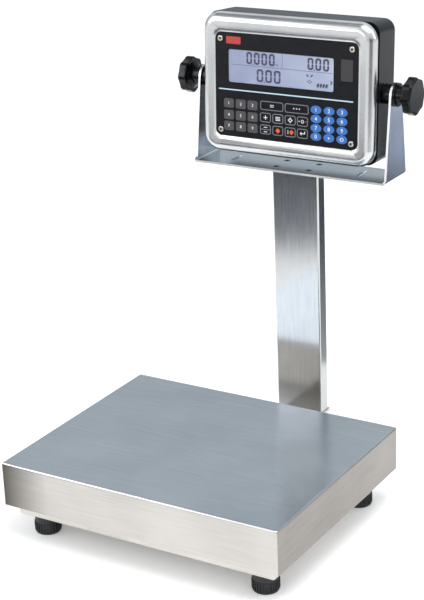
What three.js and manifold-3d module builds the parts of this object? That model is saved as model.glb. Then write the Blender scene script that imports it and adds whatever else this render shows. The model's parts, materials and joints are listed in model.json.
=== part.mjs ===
// Bench scale: a low platform with a lift-off platter, a rear column and a tilting indicator.
// Millimetres, +Z up. X runs to the user's right and Y away from the user.
// The origin is on the floor, under the centre of the whole scale's box.

import * as THREE from 'three';
import { mergeVertices } from 'three/addons/utils/BufferGeometryUtils.js';
import Module from 'manifold-3d';

const wasm = await Module();
wasm.setup();

// ---- Driving dimensions ----

const gap = 0.3; // left between pieces that touch

// Platter: a folded stainless tray, upside down.
const platterWidth = 400;
const platterDepth = 320;
const platterSkirt = 58.5;
const platterSheet = 1.5;
const platterFold = 2.5;
const platterCorner = 3;

// Base frame: welded rectangular tube.
const frameInset = 13; // from the platter's edge to the frame's
const tubeWidth = 40;
const tubeHeight = 25;
const tubeWall = 2;
const tubeEdge = 3;
const beamWidth = 60;
const beamHeight = 17;

// Levelling feet.
const footHeight = 29.3; // floor to the frame's underside
const footRadius = 17.6;
const footInsetX = 25.6; // from the frame's edge to a foot's axis
const footInsetFront = 24.5;
const footInsetRear = 21.2;
const footStudRadius = 4.8;
const footStudReach = 20; // above the frame's underside

// Load cell: a single-point aluminium block, fixed at its left end.
const cellLength = 130;
const cellWidth = 40;
const cellHeight = 22;
const cellHole = 7.5;
const spacerHeight = 3;
const spacerLength = 38;
const cellDeflection = 1; // how far the loaded end sinks at full load
const cellBoltRadius = 3;
const cellBoltHead = 5;
const cellBoltPitch = 22; // the two bolts in each end, along the cell

// Upper frame: carries the platter on four rubber pads.
const railWidth = 30;
const railHeight = 20;
const railLength = 250;
const railSpread = 220; // between the rails' centre lines
const padRadius = 15;
const padHeight = 4.7;

// Column and what holds it up.
const columnWidth = 70;
const columnDepth = 20;
const columnWall = 2;
const columnSetback = 101.9; // platter's rear edge to the column's front face
const armWidth = 60;
const armHeight = 12.5; // low enough to pass under the platter's skirt
const basePlateMargin = 5; // in front of the column and behind it
const basePlateHeight = 5;
const topPlateInset = 2; // inside the column's two narrow sides
const topPlateMargin = 6.3; // in front of the bracket screws and behind them
const topPlateHeight = 3;

// Tilt bracket: a U of sheet on the column's top.
const armClearance = 14; // from the bezel's side to an arm's inside
const baseClearance = 15.5; // from the bracket's base up to the bezel's lower edge, level
const bracketDepth = 63.2;
const bracketSheet = 3;
const bracketBend = 4.5;
const bracketUnderside = 399.8; // above the floor
const bracketSetback = -0.4; // the column's middle to the bracket's
const bracketTip = 16; // radius round the pivot
const bracketLean = 4.5; // how far an arm's front edge starts behind the base's
const bracketScrewX = 24.6;
const bracketScrewGap = 2.7; // from the column's face to a screw's side
const bracketScrewRadius = 2.5;
const bracketScrewHead = 4;
const slotInset = 49; // from the bracket's side to a slot's middle
const slotLength = 28;
const slotWidth = 5;

// Indicator, in its own frame: origin on the pivot, y backwards, before it is tilted.
const pivotSetback = 4; // the bracket's middle to the pivot
const indicatorTilt = 3.05; // degrees, leaning back
const bezelWidth = 255;
const bezelHeight = 188.2;
const bezelRise = -0.2; // centre above the pivot
const bezelCorner = 24;
const bezelRound = 12;
const bezelSheet = 1.5;
const bezelFront = 35.6; // front face to the pivot
const bezelDepth = 13.5;
const panelBorderX = 21.35; // from the bezel's side to the panel's
const panelBorderZ = 24.4;
const panelDrop = 1.3; // panel's centre below the bezel's
const panelCorner = 9;
const panelThickness = 1;
const panelRecess = 1.5;
const recessSlope = 4.5;
const lipWidth = 15;
const panelScrewInset = 8.4;
const panelScrewRadius = 1.9;
const panelScrewHead = 4;
const windowInsetLeft = 19.95; // from the panel's edges
const windowInsetRight = 35.05;
const windowInsetTop = 21.8;
const windowHeight = 44.5;
const lcdBorder = 4;
const lcdThickness = 4;
const gasketDepth = 6.5;
const gasketInset = 2.2;
const gasketWidth = 7;
const housingInset = 0.7;
const housingCorner = 16;
const housingDepth = 50;
const housingDraft = 1.2; // degrees
const housingRound = 6;
const housingWall = 2.5;
const postRadius = 5;
const boardInsetX = 42.5; // from the bezel's side to the board's
const boardInsetZ = 46.1;
const boardThickness = 1.6;
const batteryWidth = 100;
const batteryHeight = 70;
const batteryDepth = 20;
const glandSpread = 60;
const glandRadius = 9;
const glandLength = 16;
const glandBore = 3;
const glandRise = 36.3; // above the bezel's lower edge

// Pivot hardware.
const studRadius = 4;
const studEngage = 11; // into a boss
const bossRadius = 13;
const knobRadius = 25;
const knobFace = 19;
const knobLength = 29;
const knobHub = 13;
const knobHead = 12.5;
const knobLobes = 8;

// ---- Heights and places that follow ----

const beamTop = footHeight + beamHeight;
const cellBottom = beamTop + spacerHeight + 2 * gap;
const spacerUpperBottom = cellBottom + cellHeight + cellDeflection + gap;
const railBottom = spacerUpperBottom + spacerHeight + gap;
const platterTop = railBottom + railHeight + padHeight + 2 * gap + platterSheet;
const frameLeft = frameInset - platterWidth / 2;
const frameFront = frameInset;
const frameRear = platterDepth - frameInset;
const columnY = platterDepth + columnSetback + columnDepth / 2;
const basePlateDepth = columnDepth + 2 * basePlateMargin;
const bracketWidth = bezelWidth + 2 * (armClearance + bracketSheet);
const bracketY = columnY + bracketSetback;
const bracketScrewY = columnDepth / 2 + bracketScrewGap + bracketScrewRadius;
const topPlateWidth = columnWidth - 2 * topPlateInset;
const topPlateDepth = 2 * (bracketScrewY + topPlateMargin);
const slotX = bracketWidth / 2 - slotInset;
const basePlateBottom = footHeight + armHeight + gap;
const topPlateTop = bracketUnderside - gap;
const pivotY = bracketY + pivotSetback;
const pivotHeight = bracketUnderside + bracketSheet + baseClearance + bezelHeight / 2 - bezelRise;
const panelWidth = bezelWidth - 2 * panelBorderX;
const panelHeight = bezelHeight - 2 * panelBorderZ;
const windowHigh = panelHeight - windowInsetTop;
const windowLow = windowHigh - windowHeight;
const windowLeft = windowInsetLeft - panelWidth / 2;
const windowRight = panelWidth / 2 - windowInsetRight;
const boardWidth = bezelWidth - 2 * boardInsetX;
const boardHeight = bezelHeight - 2 * boardInsetZ;
const panelFace = panelRecess - bezelFront;
const panelRise = bezelRise - panelDrop;
const gasketFront = bezelDepth - bezelFront + gap;
const housingFront = gasketFront + gasketDepth + gap;
const housingRear = housingFront + housingDepth;
const armInside = bracketWidth / 2 - bracketSheet;

// ---- Finishes ----

const finish = (color, roughness, metalness) =>
  new THREE.MeshStandardMaterial({ color, roughness, metalness });
const brushed = () => finish(0xb9bdc0, 0.35, 1);
const polished = () => finish(0xd5d8da, 0.15, 1);
const frameSteel = () => finish(0x8d9196, 0.5, 1);
const aluminium = () => finish(0xc3c6c8, 0.4, 1);
const zinc = () => finish(0xa7abae, 0.3, 1);
const blackPlastic = () => finish(0x1c1f22, 0.35, 0);
const blackRubber = () => finish(0x17181a, 0.8, 0);
const panelFilm = () => finish(0x1c2028, 0.25, 0);
const displayGlass = () => finish(0x9fa9c4, 0.1, 0);
const displayCell = () => finish(0xa3aecb, 0.5, 0);
const boardGreen = () => finish(0x1f5a34, 0.5, 0);
const batteryGrey = () => finish(0x4b5056, 0.5, 0);

// ---- Geometry helpers ----

const scale = new THREE.Group();

function add(name, geometry, material, parent = scale) {
  const mesh = new THREE.Mesh(geometry, material);
  mesh.name = name;
  parent.add(mesh);
  return mesh;
}

function block(x0, x1, y0, y1, z0, z1) {
  const box = new THREE.BoxGeometry(x1 - x0, y1 - y0, z1 - z0);
  return box.translate((x0 + x1) / 2, (y0 + y1) / 2, (z0 + z1) / 2);
}

// A cylinder standing on z0.
function post(radius, z0, z1, x = 0, y = 0, sides = 20) {
  const cylinder = new THREE.CylinderGeometry(radius, radius, z1 - z0, sides);
  return cylinder.rotateX(Math.PI / 2).translate(x, y, (z0 + z1) / 2);
}

function toSolid(geometry) {
  const bare = geometry.clone();
  bare.deleteAttribute('normal');
  bare.deleteAttribute('uv');
  const merged = mergeVertices(bare, 1e-4);
  const vertProperties = new Float32Array(merged.attributes.position.array);
  const triVerts = new Uint32Array(merged.index.array);
  return new wasm.Manifold(new wasm.Mesh({ numProp: 3, vertProperties, triVerts }));
}

function toGeometry(solid) {
  const mesh = solid.getMesh();
  const geometry = new THREE.BufferGeometry();
  geometry.setAttribute('position', new THREE.BufferAttribute(mesh.vertProperties, 3));
  geometry.setIndex(new THREE.BufferAttribute(mesh.triVerts, 1));
  return geometry;
}

function cut(geometry, tools) {
  return toGeometry(tools.reduce((solid, tool) => solid.subtract(toSolid(tool)), toSolid(geometry)));
}

function join(geometry, others) {
  return toGeometry(others.reduce((solid, other) => solid.add(toSolid(other)), toSolid(geometry)));
}

// A ring of points round a rounded rectangle at height z, anticlockwise from above.
function roundedRing({ width, height, radius, z, y = 0, steps = 5 }) {
  const ring = [];
  const corner = Math.max(radius, 0.2);
  for (let quarter = 0; quarter < 4; quarter++) {
    const signX = quarter === 0 || quarter === 3 ? 1 : -1;
    const signY = quarter < 2 ? 1 : -1;
    for (let step = 0; step <= steps; step++) {
      const angle = ((quarter + step / steps) * Math.PI) / 2;
      const px = signX * (width / 2 - corner) + corner * Math.cos(angle);
      const py = signY * (height / 2 - corner) + corner * Math.sin(angle) + y;
      ring.push(new THREE.Vector3(px, py, z));
    }
  }
  return ring;
}

// A ring of points on a circle at height z, its radius changed by wave(angle).
function roundRing(radius, z, sides, wave = () => 0) {
  return Array.from({ length: sides }, (_, i) => {
    const angle = (i / sides) * 2 * Math.PI;
    const r = radius + wave(angle);
    return new THREE.Vector3(r * Math.cos(angle), r * Math.sin(angle), z);
  });
}

// Skins a stack of rings. A closed stack is a frame; an open one is capped at both ends.
function skin(rings, closed = false) {
  const count = rings[0].length;
  const points = rings.flat();
  const index = [];
  const bands = closed ? rings.length : rings.length - 1;
  for (let band = 0; band < bands; band++) {
    const low = band * count;
    const high = ((band + 1) % rings.length) * count;
    for (let i = 0; i < count; i++) {
      const j = (i + 1) % count;
      index.push(low + i, low + j, high + j, low + i, high + j, high + i);
    }
  }
  if (!closed) {
    capRing(points, index, 0, count, true);
    capRing(points, index, (rings.length - 1) * count, count, false);
  }
  const geometry = new THREE.BufferGeometry().setFromPoints(points);
  geometry.setIndex(index);
  return geometry;
}

function capRing(points, index, start, count, facingDown) {
  const centre = new THREE.Vector3();
  for (let i = 0; i < count; i++) centre.add(points[start + i]);
  const hub = points.push(centre.divideScalar(count)) - 1;
  for (let i = 0; i < count; i++) {
    const a = start + i;
    const b = start + ((i + 1) % count);
    if (facingDown) index.push(hub, b, a);
    else index.push(hub, a, b);
  }
}

// Turns a solid whose depth runs along z so that its depth runs along y, backwards.
function facing(geometry) {
  return geometry.rotateX(-Math.PI / 2);
}

// ---- Platter ----

// The outside rises to the folded top; the inside follows it, one sheet in.
function platterGeometry() {
  const skirtEnd = platterTop - platterSkirt;
  const ring = (inset, z) => roundedRing({
    width: platterWidth - 2 * inset,
    height: platterDepth - 2 * inset,
    radius: platterCorner - inset,
    z,
    y: platterDepth / 2,
    steps: 3,
  });
  const rings = [
    ring(platterFold, platterTop - platterSheet),
    ring(platterSheet, platterTop - platterFold),
    ring(platterSheet, skirtEnd),
    ring(0, skirtEnd),
  ];
  const steps = 3;
  for (let i = 0; i <= steps; i++) {
    const angle = ((i / steps) * Math.PI) / 2;
    rings.push(ring(platterFold * (1 - Math.cos(angle)), platterTop - platterFold * (1 - Math.sin(angle))));
  }
  return skin(rings);
}

// ---- Base frame ----

// A tube along X with closed, rounded ends; its hollow opens at the holes cut for the studs.
function closedTube(length, depth, height, wall) {
  const outer = skin([
    roundedRing({ width: length - 2, height: depth - 2, radius: tubeEdge - 1, z: 0, steps: 3 }),
    roundedRing({ width: length, height: depth, radius: tubeEdge, z: 1, steps: 3 }),
    roundedRing({ width: length, height: depth, radius: tubeEdge, z: height - 1, steps: 3 }),
    roundedRing({ width: length - 2, height: depth - 2, radius: tubeEdge - 1, z: height, steps: 3 }),
  ]);
  const halfX = length / 2 - wall;
  const halfY = depth / 2 - wall;
  return cut(outer, [block(-halfX, halfX, -halfY, halfY, wall, height - wall)]);
}

function footPlaces() {
  const x = -(frameLeft + footInsetX);
  return [
    { name: 'front_left', x: -x, y: frameFront + footInsetFront },
    { name: 'front_right', x, y: frameFront + footInsetFront },
    { name: 'rear_left', x: -x, y: frameRear - footInsetRear },
    { name: 'rear_right', x, y: frameRear - footInsetRear },
  ];
}

function addBaseFrame() {
  const length = -2 * frameLeft;
  const ends = [
    { name: 'front', y: frameFront + tubeWidth / 2 },
    { name: 'rear', y: frameRear - tubeWidth / 2 },
  ];
  for (const { name, y } of ends) {
    const tube = closedTube(length, tubeWidth, tubeHeight, tubeWall).translate(0, y, footHeight);
    const studs = footPlaces().filter((place) => place.name.startsWith(name)).map((place) =>
      post(footStudRadius + gap, footHeight - 1, footHeight + tubeWall + 1, place.x, place.y));
    add(`base_tube_${name}`, cut(tube, studs), frameSteel());
  }
  const sideFront = frameFront + tubeWidth + gap;
  const sideRear = frameRear - tubeWidth - gap;
  for (const side of [-1, 1]) {
    const outer = side * -frameLeft;
    const inner = outer - side * tubeWidth;
    const [x0, x1] = [Math.min(outer, inner), Math.max(outer, inner)];
    const top = footHeight + tubeHeight;
    const tube = cut(block(x0, x1, sideFront, sideRear, footHeight, top), [
      block(x0 + tubeWall, x1 - tubeWall, sideFront - 1, sideRear + 1,
        footHeight + tubeWall, top - tubeWall),
    ]);
    add(`base_tube_${side < 0 ? 'left' : 'right'}`, tube, frameSteel());
  }
  addCentreBeam();
}

// The beam that carries the load cell, between the side tubes.
function addCentreBeam() {
  const half = -frameLeft - tubeWidth - gap;
  const y = platterDepth / 2;
  const wall = tubeWall;
  const beam = cut(block(-half, half, y - beamWidth / 2, y + beamWidth / 2, footHeight, beamTop), [
    block(-half - 1, half + 1, y - beamWidth / 2 + wall, y + beamWidth / 2 - wall,
      footHeight + wall, beamTop - wall),
    ...cellBoltPlaces(-1).map((x) => post(cellBoltRadius + gap, beamTop - wall - 1, beamTop + 1, x, y)),
  ]);
  add('base_centre_beam', beam, frameSteel());
}

// ---- Load cell ----

// The two bolts at the fixed end (side -1) or the loaded end (side 1).
function cellBoltPlaces(side) {
  const middle = side * (cellLength / 2 - spacerLength / 2);
  return [middle - cellBoltPitch / 2, middle + cellBoltPitch / 2];
}

function addLoadCell() {
  const y = platterDepth / 2;
  const half = cellLength / 2;
  const top = cellBottom + cellHeight;
  const middle = (cellBottom + top) / 2;
  const boreX = cellHole * 1.6;
  const bore = (x) => new THREE.CylinderGeometry(cellHole, cellHole, cellWidth + 2, 20)
    .translate(x, y, middle);
  const bolts = [-1, 1].flatMap((side) => cellBoltPlaces(side).map((x) =>
    post(cellBoltRadius + gap, cellBottom - 1, top + 1, x, y, 16)));
  const cell = cut(block(-half, half, y - cellWidth / 2, y + cellWidth / 2, cellBottom, top), [
    bore(-boreX),
    bore(boreX),
    block(-boreX, boreX, y - cellWidth, y + cellWidth, middle - 2, middle + 2),
    ...bolts,
  ]);
  add('load_cell', cell, aluminium());
  addSpacer('load_cell_spacer_lower', -1, beamTop + gap);
  addSpacer('load_cell_spacer_upper', 1, spacerUpperBottom);
  addCellBolts('lower', -1, beamTop - tubeWall - gap, 1);
  addCellBolts('upper', 1, railBottom + tubeWall + gap, -1);
}

function addSpacer(name, side, bottom) {
  const y = platterDepth / 2;
  const middle = side * (cellLength / 2 - spacerLength / 2);
  const plate = block(middle - spacerLength / 2, middle + spacerLength / 2,
    y - cellWidth / 2, y + cellWidth / 2, bottom, bottom + spacerHeight);
  const holes = cellBoltPlaces(side).map((x) =>
    post(cellBoltRadius + gap, bottom - 1, bottom + spacerHeight + 1, x, y, 16));
  add(name, cut(plate, holes), frameSteel());
}

// Socket-head bolts, whose heads bear on the inside of a tube's wall and shanks enter the cell.
function addCellBolts(level, side, seat, direction) {
  const reach = tubeWall + spacerHeight + cellDeflection + 3 * gap + cellHeight * 0.7;
  const z = [seat - direction * cellBoltHead, seat, seat + direction * reach];
  const hex = new THREE.CylinderGeometry(2.5, 2.5, 3, 6).rotateX(Math.PI / 2);
  cellBoltPlaces(side).forEach((x, i) => {
    const head = post(cellBoltHead, Math.min(z[0], z[1]), Math.max(z[0], z[1]), 0, 0, 16);
    const shank = post(cellBoltRadius, Math.min(z[0], z[2]) + 1, Math.max(z[0], z[2]) - 1, 0, 0, 12);
    const bolt = cut(join(head, [shank]), [hex.clone().translate(0, 0, z[0])]);
    add(`load_cell_bolt_${level}_${i + 1}`, bolt, zinc()).position.set(x, platterDepth / 2, 0);
  });
}

// ---- Upper frame ----

function addUpperFrame() {
  const y = platterDepth / 2;
  const top = railBottom + railHeight;
  for (const side of [-1, 1]) {
    const x = (side * railSpread) / 2;
    const rail = cut(
      block(x - railWidth / 2, x + railWidth / 2, y - railLength / 2, y + railLength / 2, railBottom, top),
      [block(x - railWidth / 2 + tubeWall, x + railWidth / 2 - tubeWall, y - railLength, y + railLength,
        railBottom + tubeWall, top - tubeWall)],
    );
    const name = side < 0 ? 'left' : 'right';
    add(`upper_rail_${name}`, rail, frameSteel());
    for (const end of [-1, 1]) {
      const padY = y + end * (railLength / 2 - padRadius - 1);
      const pad = post(padRadius, top + gap, top + gap + padHeight, x, padY);
      add(`platter_pad_${end < 0 ? 'front' : 'rear'}_${name}`, pad, blackRubber());
    }
  }
  const half = railSpread / 2 - railWidth / 2 - gap;
  const crossbar = cut(block(-half, half, y - beamWidth / 2, y + beamWidth / 2, railBottom, top), [
    block(-half - 1, half + 1, y - beamWidth / 2 + tubeWall, y + beamWidth / 2 - tubeWall,
      railBottom + tubeWall, top - tubeWall),
    ...cellBoltPlaces(1).map((x) =>
      post(cellBoltRadius + gap, railBottom - 1, railBottom + tubeWall + 1, x, y)),
  ]);
  add('upper_crossbar', crossbar, frameSteel());
}

// ---- Feet ----

// A ribbed pad under a smooth collar, moulded round the stud's lower end.
function footPadGeometry() {
  const sides = 32;
  const top = footHeight - gap;
  const socket = footStudRadius + gap;
  const rib = (angle) => (Math.round((angle / (2 * Math.PI)) * sides) % 2 ? -0.9 : 0);
  const round = (radius, z) => roundRing(radius, z, sides);
  const ribbed = (radius, z) => roundRing(radius, z, sides, rib);
  return skin([
    round(footRadius - 2.5, 0),
    round(footRadius - 0.8, 2),
    ribbed(footRadius, 3.5),
    ribbed(footRadius, top * 0.55),
    round(footRadius - 1.2, top * 0.62),
    round(footRadius - 1.2, top - 3),
    round(footRadius - 3.4, top - 0.6),
    round(footRadius - 5, top),
    round(socket, top),
    round(socket, 8),
  ]);
}

function addFeet() {
  for (const { name, x, y } of footPlaces()) {
    add(`foot_pad_${name}`, footPadGeometry(), blackRubber()).position.set(x, y, 0);
    const stud = post(footStudRadius, 8 + gap, footHeight + footStudReach, 0, 0, 16);
    add(`foot_stud_${name}`, stud, zinc()).position.set(x, y, 0);
  }
}

// ---- Column ----

function addColumn() {
  const rear = columnY + columnDepth / 2 + 5;
  const armTop = footHeight + armHeight;
  const front = frameRear + gap;
  const arm = cut(block(-armWidth / 2, armWidth / 2, front, rear, footHeight, armTop), [
    block(-armWidth / 2 + tubeWall, armWidth / 2 - tubeWall, front - 1, rear - tubeWall,
      footHeight + tubeWall, armTop - tubeWall),
  ]);
  add('column_support', arm, frameSteel());

  const halfPlate = columnWidth / 2;
  const plateTop = basePlateBottom + basePlateHeight;
  add('column_base_plate', block(-halfPlate, halfPlate, columnY - basePlateDepth / 2,
    columnY + basePlateDepth / 2, basePlateBottom, plateTop), brushed());

  const columnBottom = plateTop + gap;
  const columnTop = topPlateTop - topPlateHeight - gap;
  const ring = (inset, z) => roundedRing({
    width: columnWidth - 2 * inset,
    height: columnDepth - 2 * inset,
    radius: 2.5 - inset,
    z,
    y: columnY,
    steps: 3,
  });
  const column = skin([
    ring(0, columnBottom), ring(0, columnTop), ring(columnWall, columnTop), ring(columnWall, columnBottom),
  ], true);
  add('column', column, brushed());

  const topPlate = cut(
    block(-topPlateWidth / 2, topPlateWidth / 2, bracketY - topPlateDepth / 2,
      bracketY + topPlateDepth / 2, topPlateTop - topPlateHeight, topPlateTop),
    bracketScrewPlaces().map(({ x, y }) =>
      post(bracketScrewRadius + gap, topPlateTop - topPlateHeight - 1, topPlateTop + 1, x, y, 16)),
  );
  add('column_top_plate', topPlate, brushed());
}

// ---- Tilt bracket ----

function bracketScrewPlaces() {
  return [-1, 1].flatMap((sideY) => [-1, 1].map((sideX) => ({
    x: sideX * bracketScrewX,
    y: bracketY + sideY * bracketScrewY,
  })));
}

// The bent section seen from the front: a U with rounded bends.
function bracketSection(top) {
  const half = bracketWidth / 2;
  const low = bracketUnderside;
  const shape = new THREE.Shape();
  shape.moveTo(-half, top);
  shape.lineTo(-half, low + bracketBend);
  shape.absarc(-half + bracketBend, low + bracketBend, bracketBend, Math.PI, 1.5 * Math.PI);
  shape.lineTo(half - bracketBend, low);
  shape.absarc(half - bracketBend, low + bracketBend, bracketBend, -0.5 * Math.PI, 0);
  shape.lineTo(half, top);
  shape.lineTo(half - bracketSheet, top);
  const inner = bracketBend - bracketSheet;
  shape.lineTo(half - bracketSheet, low + bracketBend);
  shape.absarc(half - bracketBend, low + bracketBend, inner, 0, -0.5 * Math.PI, true);
  shape.lineTo(-half + bracketBend, low + bracketSheet);
  shape.absarc(-half + bracketBend, low + bracketBend, inner, 1.5 * Math.PI, Math.PI, true);
  shape.lineTo(-half + bracketSheet, top);
  return shape;
}

// An arm seen from the side: wide at the bend, and tangent to a circle round the pivot.
function armSection() {
  const front = bracketY - bracketDepth / 2;
  const rear = bracketY + bracketDepth / 2;
  const bend = bracketUnderside + bracketBend + 1.5;
  const tangent = (y, side) => {
    const dy = y - pivotY;
    const dz = bend - pivotHeight;
    const reach = Math.hypot(dy, dz);
    return Math.atan2(dz, dy) + side * Math.acos(bracketTip / reach);
  };
  const shape = new THREE.Shape();
  shape.moveTo(front, bracketUnderside - 1);
  shape.lineTo(rear, bracketUnderside - 1);
  shape.lineTo(rear, bend);
  shape.absarc(pivotY, pivotHeight, bracketTip, tangent(rear, 1), tangent(front + bracketLean, -1));
  shape.lineTo(front + bracketLean, bend);
  shape.lineTo(front, bracketUnderside + bracketSheet);
  return shape;
}

function addBracket() {
  const top = pivotHeight + bracketTip + 1;
  const section = new THREE.ExtrudeGeometry(bracketSection(top), {
    depth: bracketDepth, bevelEnabled: false, curveSegments: 3,
  }).rotateX(Math.PI / 2).translate(0, bracketY + bracketDepth / 2, 0);
  const sides = new THREE.ExtrudeGeometry(armSection(), {
    depth: bracketWidth + 2, bevelEnabled: false, curveSegments: 10,
  }).rotateX(Math.PI / 2).rotateZ(Math.PI / 2).translate(-bracketWidth / 2 - 1, 0, 0);
  const sheet = toGeometry(toSolid(section).intersect(toSolid(sides)));
  const low = bracketUnderside;
  const pivots = new THREE.CylinderGeometry(studRadius + gap, studRadius + gap, bracketWidth + 2, 16)
    .rotateZ(Math.PI / 2).translate(0, pivotY, pivotHeight);
  const slotEnd = slotWidth / 2 - 0.01;
  const slotRing = (z) =>
    roundedRing({ width: slotWidth, height: slotLength, radius: slotEnd, z, y: bracketY, steps: 3 });
  const slots = [-1, 1].map((side) =>
    skin([slotRing(low - 1), slotRing(low + bracketSheet + 1)]).translate(side * slotX, 0, 0));
  const screws = bracketScrewPlaces().flatMap(({ x, y }) =>
    screwSeat(bracketScrewRadius, bracketScrewHead, low + bracketSheet)
      .map((tool) => tool.translate(x, y, 0)));
  add('tilt_bracket', cut(sheet, [pivots, ...slots, ...screws]), brushed());
  addBracketScrews();
}

// The hole and the countersink for a flat-head screw whose head is flush with z.
function screwSeat(radius, headRadius, z) {
  const depth = headRadius - radius;
  const cone = skin([
    roundRing(radius + gap, z - depth - gap, 16),
    roundRing(headRadius + gap, z - gap / 2, 16),
    roundRing(headRadius + gap, z + 1, 16),
  ]);
  return [post(radius + gap, z - bracketSheet - 1, z + 1, 0, 0, 16), cone];
}

function addBracketScrews() {
  const top = bracketUnderside + bracketSheet;
  const depth = bracketScrewHead - bracketScrewRadius;
  const tail = top - bracketSheet - topPlateHeight - 2;
  const body = skin([
    roundRing(bracketScrewRadius, tail, 16),
    roundRing(bracketScrewRadius, top - depth - gap / 2, 16),
    roundRing(bracketScrewHead, top - gap / 2, 16),
  ]);
  const hex = post(1.5, top - 1.6, top + 1, 0, 0, 6);
  const screw = cut(body, [hex]);
  bracketScrewPlaces().forEach(({ x, y }, i) => {
    add(`bracket_screw_${i + 1}`, screw.clone(), zinc()).position.set(x, y, 0);
  });
}

// ---- Indicator ----

const indicator = new THREE.Group();
indicator.position.set(0, pivotY, pivotHeight);
indicator.rotation.x = THREE.MathUtils.degToRad(-indicatorTilt);
scale.add(indicator);

// Rings for the indicator are drawn with z as depth and y downwards, then turned by facing().
const bezelRing = (inset, z) => roundedRing({
  width: bezelWidth - 2 * inset,
  height: bezelHeight - 2 * inset,
  radius: bezelCorner - inset,
  z,
  y: -bezelRise,
});
const panelRing = (inset, z) => roundedRing({
  width: panelWidth - 2 * inset,
  height: panelHeight - 2 * inset,
  radius: panelCorner - inset,
  z,
  y: -panelRise,
});

// A pressed frame: a flat face that rolls back all round and steps down to a lip for the panel.
function bezelGeometry() {
  const face = -bezelFront;
  const rear = face + bezelDepth;
  const floor = panelFace + panelThickness + gap;
  const rings = [];
  const steps = 4;
  for (let i = 0; i <= steps; i++) {
    const angle = ((i / steps) * Math.PI) / 2;
    const inset = bezelRound * (1 - Math.sin(angle));
    rings.push(bezelRing(inset, face + bezelRound * (1 - Math.cos(angle))));
  }
  rings.push(bezelRing(0, rear), bezelRing(bezelSheet, rear));
  for (let i = steps; i >= 0; i--) {
    const angle = ((i / steps) * Math.PI) / 2;
    const inner = bezelRound - bezelSheet;
    const inset = bezelSheet + inner * (1 - Math.sin(angle));
    rings.push(bezelRing(inset, face + bezelSheet + inner * (1 - Math.cos(angle))));
  }
  rings.push(
    panelRing(-recessSlope - 1, face + bezelSheet),
    panelRing(-1, floor + bezelSheet),
    panelRing(lipWidth, floor + bezelSheet),
    panelRing(lipWidth, floor),
    panelRing(-gap, floor),
    panelRing(-gap, floor - 1),
    panelRing(-recessSlope, face),
  );
  return facing(skin(rings, true));
}

function panelScrewPlaces() {
  const x = panelWidth / 2 - panelScrewInset;
  const z = panelHeight / 2 - panelScrewInset;
  return [-1, 1].flatMap((sideZ) => [-1, 1].map((sideX) => ({ x: sideX * x, z: panelRise + sideZ * z })));
}

// Cylinders along y at each panel screw.
function panelScrewHoles(radius, y0, y1, sides = 16) {
  return panelScrewPlaces().map(({ x, z }) =>
    facing(post(radius, y0, y1, 0, 0, sides)).translate(x, 0, z));
}

function windowBlock(clearance, y0, y1) {
  const low = panelRise - panelHeight / 2;
  return block(windowLeft - clearance, windowRight + clearance, y0, y1,
    low + windowLow - clearance, low + windowHigh + clearance);
}

function addFrontPanel() {
  const back = panelFace + panelThickness;
  const bezelHoles = panelScrewHoles(panelScrewRadius + gap, panelFace, back + 4);
  add('front_bezel', cut(bezelGeometry(), bezelHoles), polished(), indicator);
  const film = facing(skin([panelRing(0, panelFace), panelRing(0, back)]));
  const holes = panelScrewHoles(panelScrewRadius + gap, panelFace - 1, back + 1);
  const overlay = cut(film, [windowBlock(0, panelFace - 1, back + 1), ...holes]);
  add('keypad_overlay', overlay, panelFilm(), indicator);
  add('display_window', windowBlock(-gap, panelFace, back), displayGlass(), indicator);
  const lcdFront = back + gap;
  add('display_module', windowBlock(lcdBorder, lcdFront, lcdFront + lcdThickness), displayCell(), indicator);
  addPanelScrews();
}

function addPanelScrews() {
  const seat = panelFace - gap;
  const reach = 26;
  const profile = [
    roundRing(panelScrewHead - 1.2, seat - 2.2, 16),
    roundRing(panelScrewHead, seat - 1.2, 16),
    roundRing(panelScrewHead, seat, 16),
    roundRing(panelScrewRadius, seat, 16),
    roundRing(panelScrewRadius, seat + reach, 16),
  ];
  const screw = facing(cut(skin(profile), [post(1.5, seat - 4, seat - 0.8, 0, 0, 6)]));
  const names = ['lower_left', 'lower_right', 'upper_left', 'upper_right'];
  panelScrewPlaces().forEach(({ x, z }, i) => {
    add(`panel_screw_${names[i]}`, screw.clone(), zinc(), indicator).position.set(x, 0, z);
  });
}

const housingSlope = Math.tan(THREE.MathUtils.degToRad(housingDraft));

// How far the housing's side is inside the bezel's outline, z behind the pivot.
function housingSide(z) {
  return housingInset + (z - housingFront) * housingSlope;
}

// A ring of the housing: inset from the bezel's outline, with its own corners.
function housingRing(inset, z) {
  return roundedRing({
    width: bezelWidth - 2 * inset,
    height: bezelHeight - 2 * inset,
    radius: housingCorner - inset,
    z,
    y: -bezelRise,
  });
}

function housingGeometry() {
  const shell = (wall) => {
    const rear = housingRear - wall;
    const radius = housingRound - wall;
    const start = rear - radius;
    const rings = [housingRing(housingSide(housingFront) + wall, housingFront)];
    const steps = 4;
    for (let i = 0; i <= steps; i++) {
      const angle = ((i / steps) * Math.PI) / 2;
      const inset = housingSide(start) + wall + radius * (1 - Math.cos(angle));
      rings.push(housingRing(inset, start + radius * Math.sin(angle)));
    }
    return rings;
  };
  const rings = [...shell(housingWall).reverse(), ...shell(0)];
  const posts = panelScrewHoles(postRadius, panelFace + 18, housingRear - housingWall / 2);
  const pilots = panelScrewHoles(panelScrewRadius + gap, panelFace + 17, housingRear - 2 * housingWall);
  return cut(join(facing(skin(rings)), posts), pilots);
}

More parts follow.
